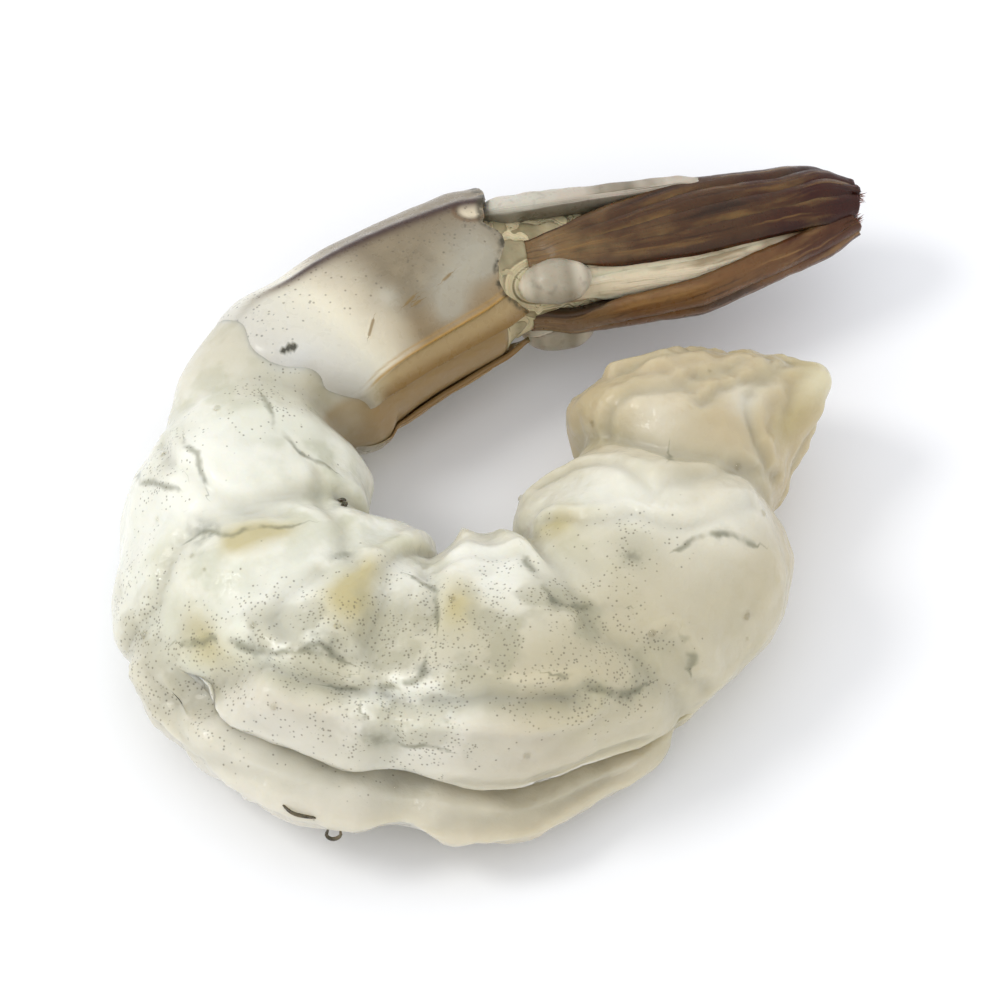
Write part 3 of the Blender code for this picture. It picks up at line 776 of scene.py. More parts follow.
flesh = loft(
    "shrimp_flesh",
    skin,
    flesh_material,
    {
        "milky": milky,
        "olive": spots(place, OLIVE),
        "speckled": spots(place, SPECKLED),
        "blot": spots(place, BLOTS),
        "fold_side": np.clip(fold_side, -2.0, 2.0),
        "fold_near": fold_near,
        "inside": inside,
        "lip": below_cut * lip_along,
        "shaded_clear_hollows": np.clip(shaded_clear_hollows, 0.0, 1.0) * ease(s, 27.0, 33.0),
        "shelly": near_shell * (0.6 + 0.4 * ease(np.abs(turn), 85.0, 125.0)),
        "strip": ease(np.abs(turn), 134.0, 146.0) * near_shell,
        # Darker and warmer towards the head, weaker on the upper side near the belly: partly own tone,
        # partly painted shade and warm reflected light.
        "warm_tone_and_shade": ease(s, 46.0, 64.0) * (0.5 + 0.5 * (1.0 - ease(turn, 50.0, 105.0))),
        "neck": ease(s, 73.0, 92.0) * (1.0 - 0.4 * hump(s, 95.0, 4.0) * hump(turn, 38.0, 32.0)),
        "along": FIBRE_ALONG * s,
        "out": FIBRE_ACROSS * GIRTH * np.cos(angle),
        "up": FIBRE_ACROSS * GIRTH * np.sin(angle),
    },
)
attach(flesh, "root")
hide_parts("flesh")
print("flesh:", len(flesh.data.polygons), "faces")

# %% [markdown]
# ## Water and loose threads
# A rinsed shrimp carries beads of water, and shreds of vein and membrane hang from the cut, the
# belly and the torn neck. Beads are scattered over a surface and threads follow short paths, so
# Geometry Nodes make both: one tree spreads small flattened balls over the flesh, the other
# turns polylines into tubes that taper to both ends. Every tree has named inputs and ends in
# plain geometry with its material, because the export drops instances.


# %% What the node trees share
def growth(name, sockets):
    """A new Geometry Nodes tree, and its named inputs."""
    tree = bpy.data.node_groups.new(name, "GeometryNodeTree")
    for label, kind in sockets.items():
        tree.interface.new_socket(label, in_out="INPUT", socket_type="NodeSocket" + kind)
    tree.interface.new_socket("Grown", in_out="OUTPUT", socket_type="NodeSocketGeometry")
    return tree, add(tree, "NodeGroupInput").outputs


def finished(tree, shape, coating):
    """The tree, ended in plain geometry with its material."""
    real = add(tree, "GeometryNodeRealizeInstances", {0: shape})
    coated = add(tree, "GeometryNodeSetMaterial", {0: real, "Material": coating})
    add(tree, "NodeGroupOutput", {0: coated})
    return tree


# %% Bead tree
def bead_tree():
    """Geometry Nodes that scatter flattened balls over the marked part of a surface."""
    sockets = {"Surface": "Geometry", "Density": "Float", "Radius": "Float", "Flatness": "Float"}
    tree, given = growth("water_beads", sockets | {"Seed": "Int", "Material": "Material"})
    open_air = add(tree, "GeometryNodeInputNamedAttribute", {"Name": "open_air"})
    spread = add(
        tree,
        "GeometryNodeDistributePointsOnFaces",
        {0: given["Surface"], 1: open_air, 4: given["Density"], 6: given["Seed"]},
    )
    ball = add(tree, "GeometryNodeMeshIcoSphere", {0: given["Radius"], 1: 3})
    squash = add(tree, "ShaderNodeCombineXYZ", {0: 1.0, 1: 1.0, 2: given["Flatness"]})
    bead = add(tree, "GeometryNodeTransform", {0: ball, "Scale": squash})
    size = add(tree, "FunctionNodeRandomValue", {2: 0.55, 3: 1.3, 8: given["Seed"]}, data_type="FLOAT")
    places = {0: spread, 2: bead, 5: spread.outputs["Rotation"], 6: size.outputs[1]}
    placed = add(tree, "GeometryNodeInstanceOnPoints", places)
    return finished(tree, placed, given["Material"])


def water():
    """Clear water."""
    made, tree, shader, spot = material("clear_water")
    ripple = add(tree, "ShaderNodeTexNoise", {"Vector": spot, "Scale": 1.0 / (0.5 * MM)})
    rough = add(tree, "ShaderNodeMapRange", {0: ripple, 1: 0.3, 2: 0.7, 3: 0.02, 4: 0.08})
    tree.links.new(rough.outputs[0], shader.inputs["Roughness"])
    shader.inputs["Base Color"].default_value = colour("#f6f7f4")
    shader.inputs["IOR"].default_value = 1.33
    shader.inputs["Transmission Weight"].default_value = 1.0
    return made


# %% Beads
BEADS_START, BEADS_END, BEADS_HEIGHT = 31.0, BODY_LENGTH - 4.0, 5.0
ground = linked("bead_ground", flesh.data.copy())
upward = (skin[..., 2] > BEADS_HEIGHT) * (skin_normals[..., 2] > 0.1)
put_marks(ground.data, {"open_air": capped((s > BEADS_START) * (s < BEADS_END) * upward)})
values = {"Density": 0.012 / MM**2, "Radius": 0.24 * MM, "Flatness": 0.55, "Seed": 5, "Material": water()}
beads = grown("shrimp_water_beads", ground, bead_tree(), values)
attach(beads, "root")


# %% Thread tree
def thread_tree():
    """Geometry Nodes that turn polylines into tubes that taper to both ends."""
    sockets = {"Paths": "Geometry", "Radius": "Float", "Material": "Material"}
    tree, given = growth("tapered_threads", sockets)
    path = add(tree, "GeometryNodeMeshToCurve", {0: given["Paths"]})
    path = add(tree, "GeometryNodeCurveSplineType", {0: path}, spline_type="BEZIER")
    path = add(tree, "GeometryNodeCurveSetHandles", {0: path}, handle_type="AUTO")
    path = add(tree, "GeometryNodeResampleCurve", {0: path, "Count": 14})
    done = add(tree, "GeometryNodeSplineParameter")
    left = add(tree, "ShaderNodeMath", {0: 1.04, 1: done}, operation="SUBTRACT")
    begun = add(tree, "ShaderNodeMath", {0: done, 1: 0.04}, operation="ADD")
    arch = add(tree, "ShaderNodeMath", {0: left, 1: begun}, operation="MULTIPLY")
    width = add(tree, "ShaderNodeMath", {0: arch, 1: 0.5}, operation="POWER")
    ring = add(tree, "GeometryNodeCurvePrimitiveCircle", {0: 8, "Radius": given["Radius"]})
    tube = add(tree, "GeometryNodeCurveToMesh", {0: path, 1: ring, 2: width, 3: True})
    return finished(tree, tube, given["Material"])


def shred(name, dark, light):
    """A wet shred of membrane or vein, mottled between two colours."""
    made, tree, shader, spot = material(name)
    mottle = add(tree, "ShaderNodeTexNoise", {"Vector": spot, "Scale": 1.0 / (0.6 * MM)})
    share = add(tree, "ShaderNodeMapRange", {0: mottle, 1: 0.35, 2: 0.65}, **SMOOTH)
    mixed = add(tree, "ShaderNodeMix", {0: share, 6: colour(dark), 7: colour(light)}, data_type="RGBA")
    tree.links.new(mixed.outputs[2], shader.inputs["Base Color"])
    rough = add(tree, "ShaderNodeMapRange", {0: mottle, 1: 0.3, 2: 0.7, 3: 0.2, 4: 0.4})
    tree.links.new(rough.outputs[0], shader.inputs["Roughness"])
    shader.inputs["Subsurface Weight"].default_value = 0.3
    shader.inputs["Subsurface Scale"].default_value = 0.6 * MM
    return made


# %% Threads
VEIN_SHREDS = (
    ((53.7, -14, -0.1), (54.1, -15, 0.35), (54.6, -16, 0.3), (54.9, -16, -0.1)),
    ((55.4, -21, -0.1), (55.5, -22, 0.5), (55.8, -22, 0.4), (55.9, -21, -0.1)),
    ((41.6, 122, -0.1), (41.9, 124, 0.25), (42.3, 122, -0.1)),
    ((43.5, 115, -0.1), (43.8, 117, 0.25), (44.1, 116, -0.1)),
)
PALE_SHREDS = (
    ((92.0, -40, -0.1), (94.5, -48, 0.5), (96.5, -42, 0.4), (97.5, -30, -0.1)),
    ((97.3, 70, -0.1), (98.0, 60, 0.4), (98.2, 40, 0.3), (97.6, 30, -0.1)),
    ((62.5, -14, -0.1), (64.5, -17, 0.4), (66.5, -13, -0.1)),
)


def thread_paths(name, paths):
    """An object of polylines whose points are given as along, degrees and height off the skin."""
    points, edges = [], []
    for path in paths:
        for number, (along, degrees, lift) in enumerate(path):
            away = unmoved - np.array([along, math.radians(degrees) * GIRTH])
            at = np.unravel_index(np.argmin((away**2).sum(axis=-1)), away.shape[:2])
            if number:
                edges.append((len(points) - 1, len(points)))
            points.append(skin[at] + lift * skin_normals[at])
    return bare(name, np.array(points), edges)


tapered_threads = thread_tree()
for name, paths, radius, coating in (
    ("shrimp_vein_shreds", VEIN_SHREDS, 0.3, shred("dark_vein", "#37321f", "#5c5338")),
    ("shrimp_pale_shreds", PALE_SHREDS, 0.2, shred("pale_membrane", "#c2b79d", "#dcd4bf")),
):
    values = {"Radius": radius * MM, "Material": coating}
    shreds = grown(name, thread_paths(name, paths), tapered_threads, values)
    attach(shreds, "root")

# %% [markdown]
# ## The tail shell
# The last ring of shell is thin horn, like a fingernail: grey-beige and clear enough to show the
# flesh under it. It has a dark keel along the back, a golden rim above the brown strip along each
# lower edge, a zigzag rear edge and a few brown dashes. Its front is so thin that it fades into
# the flesh. A sheet with Solidify would have the same thickness everywhere, so the shell is two
# grids that come together towards the front.

# %% Shell surface
SHELL_GAP, SHELL_WALL, SHELL_WRAP = 0.3, 0.45, 160.0
KEEL, EDGE_FLARE = 0.25, 0.1
KEEL_LINE = ((4.0, 68.0), (14.0, 61.0), (26.0, 54.0))
SHELL_ROWS, SHELL_COLUMNS = 150, 280
RAGGED = ((0.25, 1.1, 23), (0.1, 0.5, 24))
WAVES, THIN_FRONT = ((0.13, 5.0, 21), (0.04, 1.6, 22)), 0.14
REAR_LINE = (
    (0, 4.2), (40, 4.5), (61, 4.6), (72, 5.3), (84, 5.9), (92, 5.2), (102, 5.3), (112, 6.6),
    (120, 7.1), (134, 6.9), (148, 6.0), (160, 5.2),
)
FRONT_LINE = ((0, 25.4), (53, 26.0), (87, 28.2), (119, 28.4), (160, 27.5))
GOLD_REAR, GOLD_FRONT = (7.7, 135.0), (27.0, 143.0)
DASHES = (
    ((20.6, 114.5), (19.9, 111.5), (19.1, 108)),
    ((15.6, 109.5), (14.6, 107.5)),
    ((11.6, 106.5), (10.9, 105)),
    ((14.9, 112), (14.4, 111.5)),
)


def keel_angle(s):
    """Where round the shell its keel runs, in degrees: the tail is a little twisted."""
    return np.interp(s, *np.array(KEEL_LINE).T)


def shell_surface(s, angle, swell):
    """The shell's surface, lying on the flesh, with its keel and with its edges standing off."""
    keel = KEEL * hump(np.degrees(angle), keel_angle(s), 7.0) * (1.0 - ease(s, 20.0, 26.0))
    edge = math.radians(SHELL_WRAP)
    flare = EDGE_FLARE * ease(np.abs(angle), edge - 0.4, edge) * (1.0 - ease(s, 18.0, 26.0))
    out, up = section(body, s, angle)
    grown_by = 1.0 + (swell + keel + flare + relief(s, angle)) / np.hypot(out, up)
    return body.place(s, out * grown_by, up * grown_by)


angle = np.radians(np.linspace(-SHELL_WRAP, SHELL_WRAP, SHELL_COLUMNS))[None, :]
degrees = np.abs(np.degrees(angle))
share = np.linspace(0.0, 1.0, SHELL_ROWS)[:, None]
rear = np.interp(degrees, *np.array(REAR_LINE, float).T)
front = np.interp(degrees, *np.array(FRONT_LINE, float).T)
s = rear + (front - rear) * share
middle = shell_surface(s, angle, SHELL_GAP)
s = s + lumps(middle, RAGGED) * (1.0 - ease(share, 0.0, 0.06))
s = s + 0.9 * noise(middle, 2.5, 25) * ease(share, 0.7, 1.0)
thin = ease(s, 15.0, front - 0.5)
gold = np.interp(s, (GOLD_REAR[0], GOLD_FRONT[0]), (GOLD_REAR[1], GOLD_FRONT[1]))
gold = gold + 0.8 * noise(middle, 3.0, 26)
past_gold = ease(degrees - gold, -0.5, 3.5)
rim = 0.16 * hump(degrees - gold, -0.5, 1.6) - 0.3 * past_gold
above = (SHELL_GAP + SHELL_WALL + lumps(middle, WAVES) + rim) * (1.0 - thin) + THIN_FRONT * thin
above = above - 0.35 * (1.0 - ease(share, 0.0, 0.12)) - 0.25 * ease(share, 0.95, 1.0)
wall = SHELL_WALL * (1.0 - 0.85 * thin)
place = flat_map(s, angle)
dash_side, dash_near = folds(place, DASHES, 1.2)
above = above + 0.08 * hump(dash_side, 0.0, 0.25) * dash_near
# A low bump near the shell's front, which the material paints pale: partly its own colour, partly a painted
# highlight.
hinge = spots(place, ((27.2, 97, 1.3),))
above = above + 0.1 * hinge
outer = shell_surface(s, angle, above)
inner = shell_surface(s, angle, above - wall)
outer[..., 2] = np.maximum(outer[..., 2], 0.0)
inner[..., 2] = np.maximum(inner[..., 2], 0.06)
print("shell", SHELL_ROWS, "x", SHELL_COLUMNS, "points, wall", wall.min().round(2), "to", wall.max(), "mm")


# %% Thin horn material
SHELL_MARKS = (
    "high", "low", "milky", "keel", "gold", "strip", "strip_edge", "rear", "fade", "cream",
    "cream_rim", "hinge", "hinge_dot", "dash_side", "dash_near",
)  # fmt: skip


def tail_horn():
    """Thin wet shrimp shell: clear grey-beige horn, dark on the keel and golden on the rim."""
    made, tree, shader, spot = material("thin_shrimp_shell")
    mark = marks_in(tree, SHELL_MARKS)
    cloud = add(tree, "ShaderNodeTexNoise", {"Vector": spot, "Scale": 1.0 / (3.8 * MM), "Detail": 4.0})
    fine = add(tree, "ShaderNodeTexNoise", {"Vector": spot, "Scale": 1.0 / (0.7 * MM), "Detail": 3.0})
    pale = add(tree, "ShaderNodeMapRange", {0: cloud, 1: 0.38, 2: 0.62}, **SMOOTH)
    grains = add(tree, "ShaderNodeMapRange", {0: fine, 1: 0.35, 2: 0.6}, **SMOOTH)
    dash = drawn_line(tree, mark["dash_side"], mark["dash_near"], (0.22, 0.05))
    dots = pigment_dots(tree, spot, 0.4, (0.34, 0.14), mark["high"], 0.55)
    edge = add(tree, "ShaderNodeMath", {0: mark["rear"], 1: grains}, operation="MULTIPLY")

    layers = (
        (pale, 0.9, "#988b70"),
        (mark["high"], 0.75, "#7f725b"),
        (mark["low"], 0.6, "#94794f"),
        (mark["milky"], 0.7, "#aca899"),
        (mark["fade"], 0.97, "#e6ddc6"),
        (mark["strip"], 0.95, "#ac9467"),
        (mark["strip_edge"], 0.85, "#86693f"),
        (mark["cream"], 0.9, "#dccfb4"),
        (mark["cream_rim"], 0.8, "#6a4d2e"),
        (mark["gold"], 0.85, "#b58c42"),
        (dash, 0.75, "#7d6433"),
        (dots, 0.55, "#5d5444"),
        (mark["keel"], 0.97, "#34170d"),
        (edge, 0.9, "#39341f"),
        # The pale bump: partly its own colour, partly a painted highlight.
        (mark["hinge"], 0.5, "#e9e6d8"),
        (mark["hinge_dot"], 0.95, "#2c2a1a"),
    )
    pits = add(tree, "ShaderNodeMath", {0: cloud, 1: 2.0, 2: fine}, operation="MULTIPLY_ADD")
    values = {
        "IOR": 1.5,
        "Subsurface Weight": 0.5,
        "Subsurface Radius": (1.0, 0.85, 0.6),
        "Subsurface Scale": 0.8 * MM,
        "Specular IOR Level": 0.3,
        "Coat Weight": 0.2,
        "Coat Roughness": 0.1,
    }
    coat_with(tree, shader, "#80745c", layers, fine, (0.24, 0.4), pits, 0.35, 0.12, values)
    return made


shell_material = tail_horn()

# %% Shell piece
MILKY_SHELL = ((8.2, 99, 2.6), (11.5, 113, 2.2), (7.9, 108, 1.2), (16.6, 100, 1.0), (12.3, 125, 1.4))
CREAM_PLACE = np.array([6.4, math.radians(73.0) * GIRTH])
from_cream = np.hypot(*np.moveaxis(place - CREAM_PLACE, -1, 0))
golden = hump(degrees - gold, 0.0, 1.5) + 0.6 * hump(degrees - gold, -4.0, 0.8)
shown = 1.0 - ease(share, 0.8, 1.0)
shell = plate(
    "shrimp_tail_shell",
    outer,
    inner,
    shell_material,
    {
        "high": 1.0 - ease(degrees + 6.0 * noise(middle, 4.0, 27), 62.0, 108.0),
        "low": ease(degrees, 104.0, 126.0) * (1.0 - ease(s, 9.0, 24.0)),
        "milky": spots(place, MILKY_SHELL),
        "keel": hump(np.degrees(angle), keel_angle(s), 5.0) * (1.0 - ease(s, 20.0, 27.0)),
        "gold": np.clip(golden, 0.0, 1.0) * shown,
        "strip": past_gold * (1.0 - 0.5 * ease(s, 20.0, 28.0)),
        "strip_edge": ease(degrees, 145.0, 159.0) * shown,
        "rear": 1.0 - ease(s - rear, 0.25, 0.8),
        "fade": ease(s + 1.5 * noise(middle, 3.0, 13), 15.0, 22.5),
        "cream": 1.0 - ease(from_cream, 0.7, 1.2),
        "cream_rim": hump(from_cream, 1.35, 0.2),
        "hinge": hinge,
        "hinge_dot": ease(spots(place, ((26.8, 93, 0.42), (27.3, 90.5, 0.25))), 0.3, 0.6),
        "dash_side": np.clip(dash_side, -2.0, 2.0),
        "dash_near": dash_near,
    },
)
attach(shell, "root")
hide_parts("tail_shell")
print("shell:", len(shell.data.polygons), "faces")

# %% [markdown]
# ## The folded tail fan
# Behind the shell a shrimp carries a pointed spike, the telson, and two pairs of plates on
# knobs. Here they are folded over each other into a tapering bundle. Each plate is a strip of a
# tapering tube round the fan's own axis. The tube's half height and half width are given at its
# root, its middle and its tip.

# %% The fan's axis
FAN_START, FAN_DROP, FAN_HEADING, FAN_RISE = 4.2, 0.6, 10.0, 2.0
FAN_HALF_HEIGHT = (5.0, 4.8, 1.7)
FAN_HALF_WIDTH = (3.4, 3.2, 1.5)
FAN_LENGTH, TIP_LIFT = 28.2, 0.7
heading, climb = math.radians(FAN_HEADING), math.radians(FAN_RISE)
fan_start = body.place(np.array(FAN_START), np.array(-FAN_DROP), np.array(0.0))
fan_axis = np.array(
    [math.cos(heading) * math.cos(climb), math.sin(heading) * math.cos(climb), math.sin(climb)]
)
fan_back = np.array([-math.sin(heading), math.cos(heading), 0.0])
fan_left = np.cross(fan_axis, fan_back)


def in_fan(along, back, left):
    """Points along, back and left of the fan's start."""
    along, back, left = (np.asarray(v)[..., None] for v in np.broadcast_arrays(along, back, left))
    back = back + TIP_LIFT * ease(along, 12.0, FAN_LENGTH)
    return fan_start + along * fan_axis + back * fan_back + left * fan_left


def fan_radii(along):
    """Half the fan's height and width at a distance along it."""
    share = np.asarray(along) / FAN_LENGTH
    places = (0.0, 0.5, 1.0)
    return np.interp(share, places, FAN_HALF_HEIGHT), np.interp(share, places, FAN_HALF_WIDTH)


# %% [markdown]
# The horn of the fan is the same stuff as the shell, but thick and full of pigment: brown to
# black with ochre ribs, and reddish at the tips. One material maker takes the colours, because
# each plate of the fan shows other ones. The streaks follow the plate: they are noise on the
# plate's own two numbers, drawn out lengthwise, and the ribs are drawn where the relief has them,
# paler on their crests: partly the ribs' own horn, partly a painted highlight. The dark rims along
# the edges are partly the horn's own colour and partly painted shade where one plate tucks under
# another; the knobs and the joint skin use the same rims for painted shade in their crevices.


# %% Fan materials
def fan_horn(name, root, middle, tip, rib, edge, ribs):
    """Pigmented shrimp horn with streaks and ribs that run along the plate."""
    made, tree, shader, spot = material(name)
    share, across = marks_in(tree, ("share", "across")).values()
    drawn = add(tree, "ShaderNodeCombineXYZ", {0: share, 1: across})
    drawn = add(tree, "ShaderNodeMapping", {0: drawn, 3: (2.0, 9.0, 1.0)})
    streak = add(tree, "ShaderNodeTexNoise", {"Vector": drawn, "Scale": 1.4, "Detail": 4.0})
    fine = add(tree, "ShaderNodeTexNoise", {"Vector": spot, "Scale": 1.0 / (0.75 * MM), "Detail": 3.0})
    cloud = add(tree, "ShaderNodeTexNoise", {"Vector": spot, "Scale": 1.0 / (3.0 * MM), "Detail": 2.0})

    wander = add(tree, "ShaderNodeMath", {0: cloud, 1: 0.6, 2: share}, operation="MULTIPLY_ADD")
    to_middle = add(tree, "ShaderNodeMapRange", {0: wander, 1: 0.35, 2: 0.7}, **SMOOTH)
    to_tip = add(tree, "ShaderNodeMapRange", {0: wander, 1: 0.9, 2: 1.25}, **SMOOTH)
    light = add(tree, "ShaderNodeMapRange", {0: streak, 1: 0.52, 2: 0.68}, **SMOOTH)
    dark = add(tree, "ShaderNodeMapRange", {0: streak, 1: 0.46, 2: 0.32}, **SMOOTH)
    bent = add(tree, "ShaderNodeMath", {0: streak, 1: 0.06, 2: across}, operation="MULTIPLY_ADD")
    turns = add(tree, "ShaderNodeMath", {0: bent, 1: 2.0 * math.pi * ribs}, operation="MULTIPLY")
    wave = add(tree, "ShaderNodeMath", {0: turns}, operation="COSINE")
    crest = add(tree, "ShaderNodeMapRange", {0: wave, 1: 0.86, 2: 0.99}, **SMOOTH)
    crest = add(tree, "ShaderNodeMath", {0: crest, 1: light}, operation="MULTIPLY")
    centred = add(tree, "ShaderNodeMath", {0: across, 1: 0.5}, operation="SUBTRACT")
    outer_part = add(tree, "ShaderNodeMath", {0: centred}, operation="ABSOLUTE")
    # Dark rims at both sides of a plate: partly the horn's own edges, partly painted shade.
    dark_rims_and_shade = add(tree, "ShaderNodeMapRange", {0: outer_part, 1: 0.42, 2: 0.48}, **SMOOTH)
    grain = add(tree, "ShaderNodeMapRange", {0: fine, 1: 0.55, 2: 0.75}, **SMOOTH)

    layers = (
        (to_middle, 1.0, middle),
        (to_tip, 1.0, tip),
        (light, 0.5, rib),
        (dark, 0.75, edge),
        # Paler rib crests: partly the ribs' own horn, partly a painted highlight.
        (crest, 0.6, rib),
        # Dark rims: partly the horn's own edges, partly painted shade under overlapping plates and in the
        # crevices of the knobs and the joint skin.
        (dark_rims_and_shade, 0.85, edge),
        (grain, 0.2, "#1c130d"),
    )
    height = add(tree, "ShaderNodeMath", {0: streak, 1: 2.0, 2: fine}, operation="MULTIPLY_ADD")
    values = {
        "IOR": 1.5,
        "Specular IOR Level": 0.2,
        "Subsurface Weight": 0.2,
        "Subsurface Scale": 0.8 * MM,
        "Coat Weight": 0.1,
        "Coat Roughness": 0.15,
    }
    coat_with(tree, shader, root, layers, fine, (0.24, 0.44), height, 0.5, 0.12, values)
    return made


dark_horn = fan_horn("dark_brown_horn", "#735a3a", "#472e1a", "#36140b", "#8a6b3c", "#22150c", 4.0)
pale_horn = fan_horn("pale_grey_horn", "#c4b79a", "#d2c4a8", "#8d6d4c", "#e6dcc6", "#735d3c", 2.0)
ochre_horn = fan_horn("ochre_horn", "#7a5f3f", "#73512f", "#4d2c18", "#a5814f", "#33241a", 3.0)
telson_horn = fan_horn("grey_telson_horn", "#bdb9aa", "#b8ae9e", "#6b4c33", "#cdc8b8", "#54492f", 2.0)
print("fan materials:", dark_horn.name, pale_horn.name, ochre_horn.name, telson_horn.name)

# %% [markdown]
# Ribs run along each plate, a plate has a thickness, and short bristles fringe its tip. All three
# follow a rule, so Geometry Nodes make them. One tree takes a sheet of points, lifts ribs on it
# by the number across the plate, and pushes it down to its thickness. The other grows a cone from
# each point of the tip, along the direction that the point leads in. The plates are listed with
# the start and the length, the degrees round the fan between which they lie at the root, when
# spread and when closed at the tip, how far they stand off, the horn and the number of ribs.


# %% Plate tree
def plate_tree():
    """Geometry Nodes that make a ribbed plate of a thin sheet."""
    sockets = {"Sheet": "Geometry", "Thickness": "Float", "Rib height": "Float", "Rib count": "Float"}
    sockets |= {"Roughness": "Float", "Seed": "Float", "Material": "Material"}
    tree, given = growth("ribbed_plate", sockets)
    across = add(tree, "GeometryNodeInputNamedAttribute", {"Name": "across"})
    share = add(tree, "GeometryNodeInputNamedAttribute", {"Name": "share"})
    turns = add(tree, "ShaderNodeMath", {0: given["Rib count"], 1: 2.0 * math.pi}, operation="MULTIPLY")
    phase = add(tree, "ShaderNodeMath", {0: across, 1: turns}, operation="MULTIPLY")
    wave = add(tree, "ShaderNodeMath", {0: phase}, operation="COSINE")
    crest = add(tree, "ShaderNodeMapRange", {0: wave, 1: 0.1, 2: 1.0}, **SMOOTH)
    risen = add(tree, "ShaderNodeMath", {0: crest, 1: given["Rib height"]}, operation="MULTIPLY")
    begun = add(tree, "ShaderNodeMapRange", {0: share, 1: 0.1, 2: 0.3}, **SMOOTH)
    ribs = add(tree, "ShaderNodeMath", {0: risen, 1: begun}, operation="MULTIPLY")
    rough = add(
        tree,
        "ShaderNodeTexNoise",
        {"W": given["Seed"], "Scale": 1.0 / (2.4 * MM), "Detail": 2.0},
        noise_dimensions="4D",
    )
    lump = add(tree, "ShaderNodeMath", {0: rough, 1: 0.5}, operation="SUBTRACT")
    lift = add(tree, "ShaderNodeMath", {0: lump, 1: given["Roughness"], 2: ribs}, operation="MULTIPLY_ADD")
    normal = add(tree, "GeometryNodeInputNormal")
    offset = add(tree, "ShaderNodeVectorMath", {0: normal, "Scale": lift}, operation="SCALE")
    ribbed = add(tree, "GeometryNodeSetPosition", {0: given["Sheet"], "Offset": offset})
    low = add(tree, "ShaderNodeMath", {0: given["Thickness"], 1: -1.0}, operation="MULTIPLY")
    down = add(tree, "ShaderNodeVectorMath", {0: normal, "Scale": low}, operation="SCALE")
    pushed = add(
        tree,
        "GeometryNodeExtrudeMesh",
        {0: ribbed, "Offset": down, "Individual": False},
        mode="FACES",
    )
    whole = add(tree, "GeometryNodeJoinGeometry", {0: pushed})
    tree.links.new(ribbed.outputs[0], whole.inputs[0])
    merged = add(tree, "GeometryNodeMergeByDistance", {0: whole, "Distance": 1e-6})
    return finished(tree, merged, given["Material"])


# %% Fringe tree
def fringe_tree():
    """Geometry Nodes that grow a bristle from each point, the way the point leads."""
    sockets = {"Tips": "Geometry", "Length": "Float", "Radius": "Float"}
    tree, given = growth("bristle_fringe", sockets | {"Seed": "Int", "Material": "Material"})
    lead = add(tree, "GeometryNodeInputNamedAttribute", {"Name": "lead"}, data_type="FLOAT_VECTOR")
    aim = add(tree, "FunctionNodeAlignRotationToVector", {"Vector": lead}, axis="Z")
    lean = add(
        tree,
        "FunctionNodeRandomValue",
        {0: (-0.35, -0.35, 0.0), 1: (0.35, 0.35, 0.0), 8: given["Seed"]},
        data_type="FLOAT_VECTOR",
    )
    lean = add(tree, "FunctionNodeEulerToRotation", {0: lean})
    aim = add(tree, "FunctionNodeRotateRotation", {0: aim, 1: lean}, rotation_space="LOCAL")
    size = add(tree, "FunctionNodeRandomValue", {2: 0.5, 3: 1.2, 8: given["Seed"]}, data_type="FLOAT")
    cone = add(
        tree,
        "GeometryNodeMeshCone",
        {"Vertices": 5, "Radius Top": 0.0, "Radius Bottom": given["Radius"], "Depth": given["Length"]},
    )
    places = {0: given["Tips"], 2: cone, 5: aim, 6: size.outputs[1]}
    placed = add(tree, "GeometryNodeInstanceOnPoints", places)
    return finished(tree, placed, given["Material"])


# %% Plates
PLATES = {
    "endopod_left": (1.2, 26.4, (94.0, 122.0), (42.0, 130.0), (2.0, 136.0), 0.1, dark_horn, 4.0),
    "exopod_left": (1.4, 25.4, (118.0, 156.0), (110.0, 170.0), (110.0, 170.0), -0.45, pale_horn, 2.0),
    "endopod_right": (1.2, 26.0, (4.0, -114.0), (2.0, -120.0), (-1.0, -126.0), 0.1, dark_horn, 4.0),
    "exopod_right": (0.8, 26.4, (-120.0, -190.0), (-108.0, -212.0), (-108.0, -218.0), 0.3, ochre_horn, 3.0),
}
PLATE_ROWS, PLATE_COLUMNS = 130, 60
SPREADING, CLOSING, TIP_PART = (0.0, 0.75), (0.76, 0.96), (0.9, 1.0)
PLATE_THICKNESS, RIB_HEIGHT, PLATE_ROUGHNESS = 1.0, 0.22, 0.3


def plate_sheet(start, length, root, full, closed, stand, seed):
    """The outer surface of a plate, with a ragged tip: points, share and across."""
    share = np.linspace(0.0, 1.0, PLATE_ROWS)[:, None]
    across = np.linspace(0.0, 1.0, PLATE_COLUMNS)[None, :]
    widened, closing, at_tip = (ease(share, *part) for part in (SPREADING, CLOSING, TIP_PART))
    edges = [np.radians(a + (b - a) * widened + (c - b) * closing) for a, b, c in zip(root, full, closed)]
    tip = 0.04 * at_tip
    angle = edges[0] + (edges[1] - edges[0]) * (tip + (1.0 - 2.0 * tip) * across)
    flat = np.stack(np.broadcast_arrays(share * 0.0 + seed, across * 6.0, 0.0 * share), axis=-1)
    ragged = lumps(flat, ((0.3, 0.6, 31 + seed), (0.12, 0.2, 36))) * at_tip
    along = start + (length - 0.7) * share + 0.8 * np.sin(np.pi * across) * share + ragged
    half_height, half_width = fan_radii(along)
    raised = 0.25 + stand * ease(share, 0.0, 0.2) - 0.7 * (1.0 - ease(along, start, 4.6))
    raised = raised + 0.1 * np.sin(9.0 * share + seed) - 0.9 * ease(share, 0.88, 1.02)
    points = in_fan(along, (half_height + raised) * np.cos(angle), (half_width + raised) * np.sin(angle))
    return points, share + 0.0 * across, across + 0.0 * share


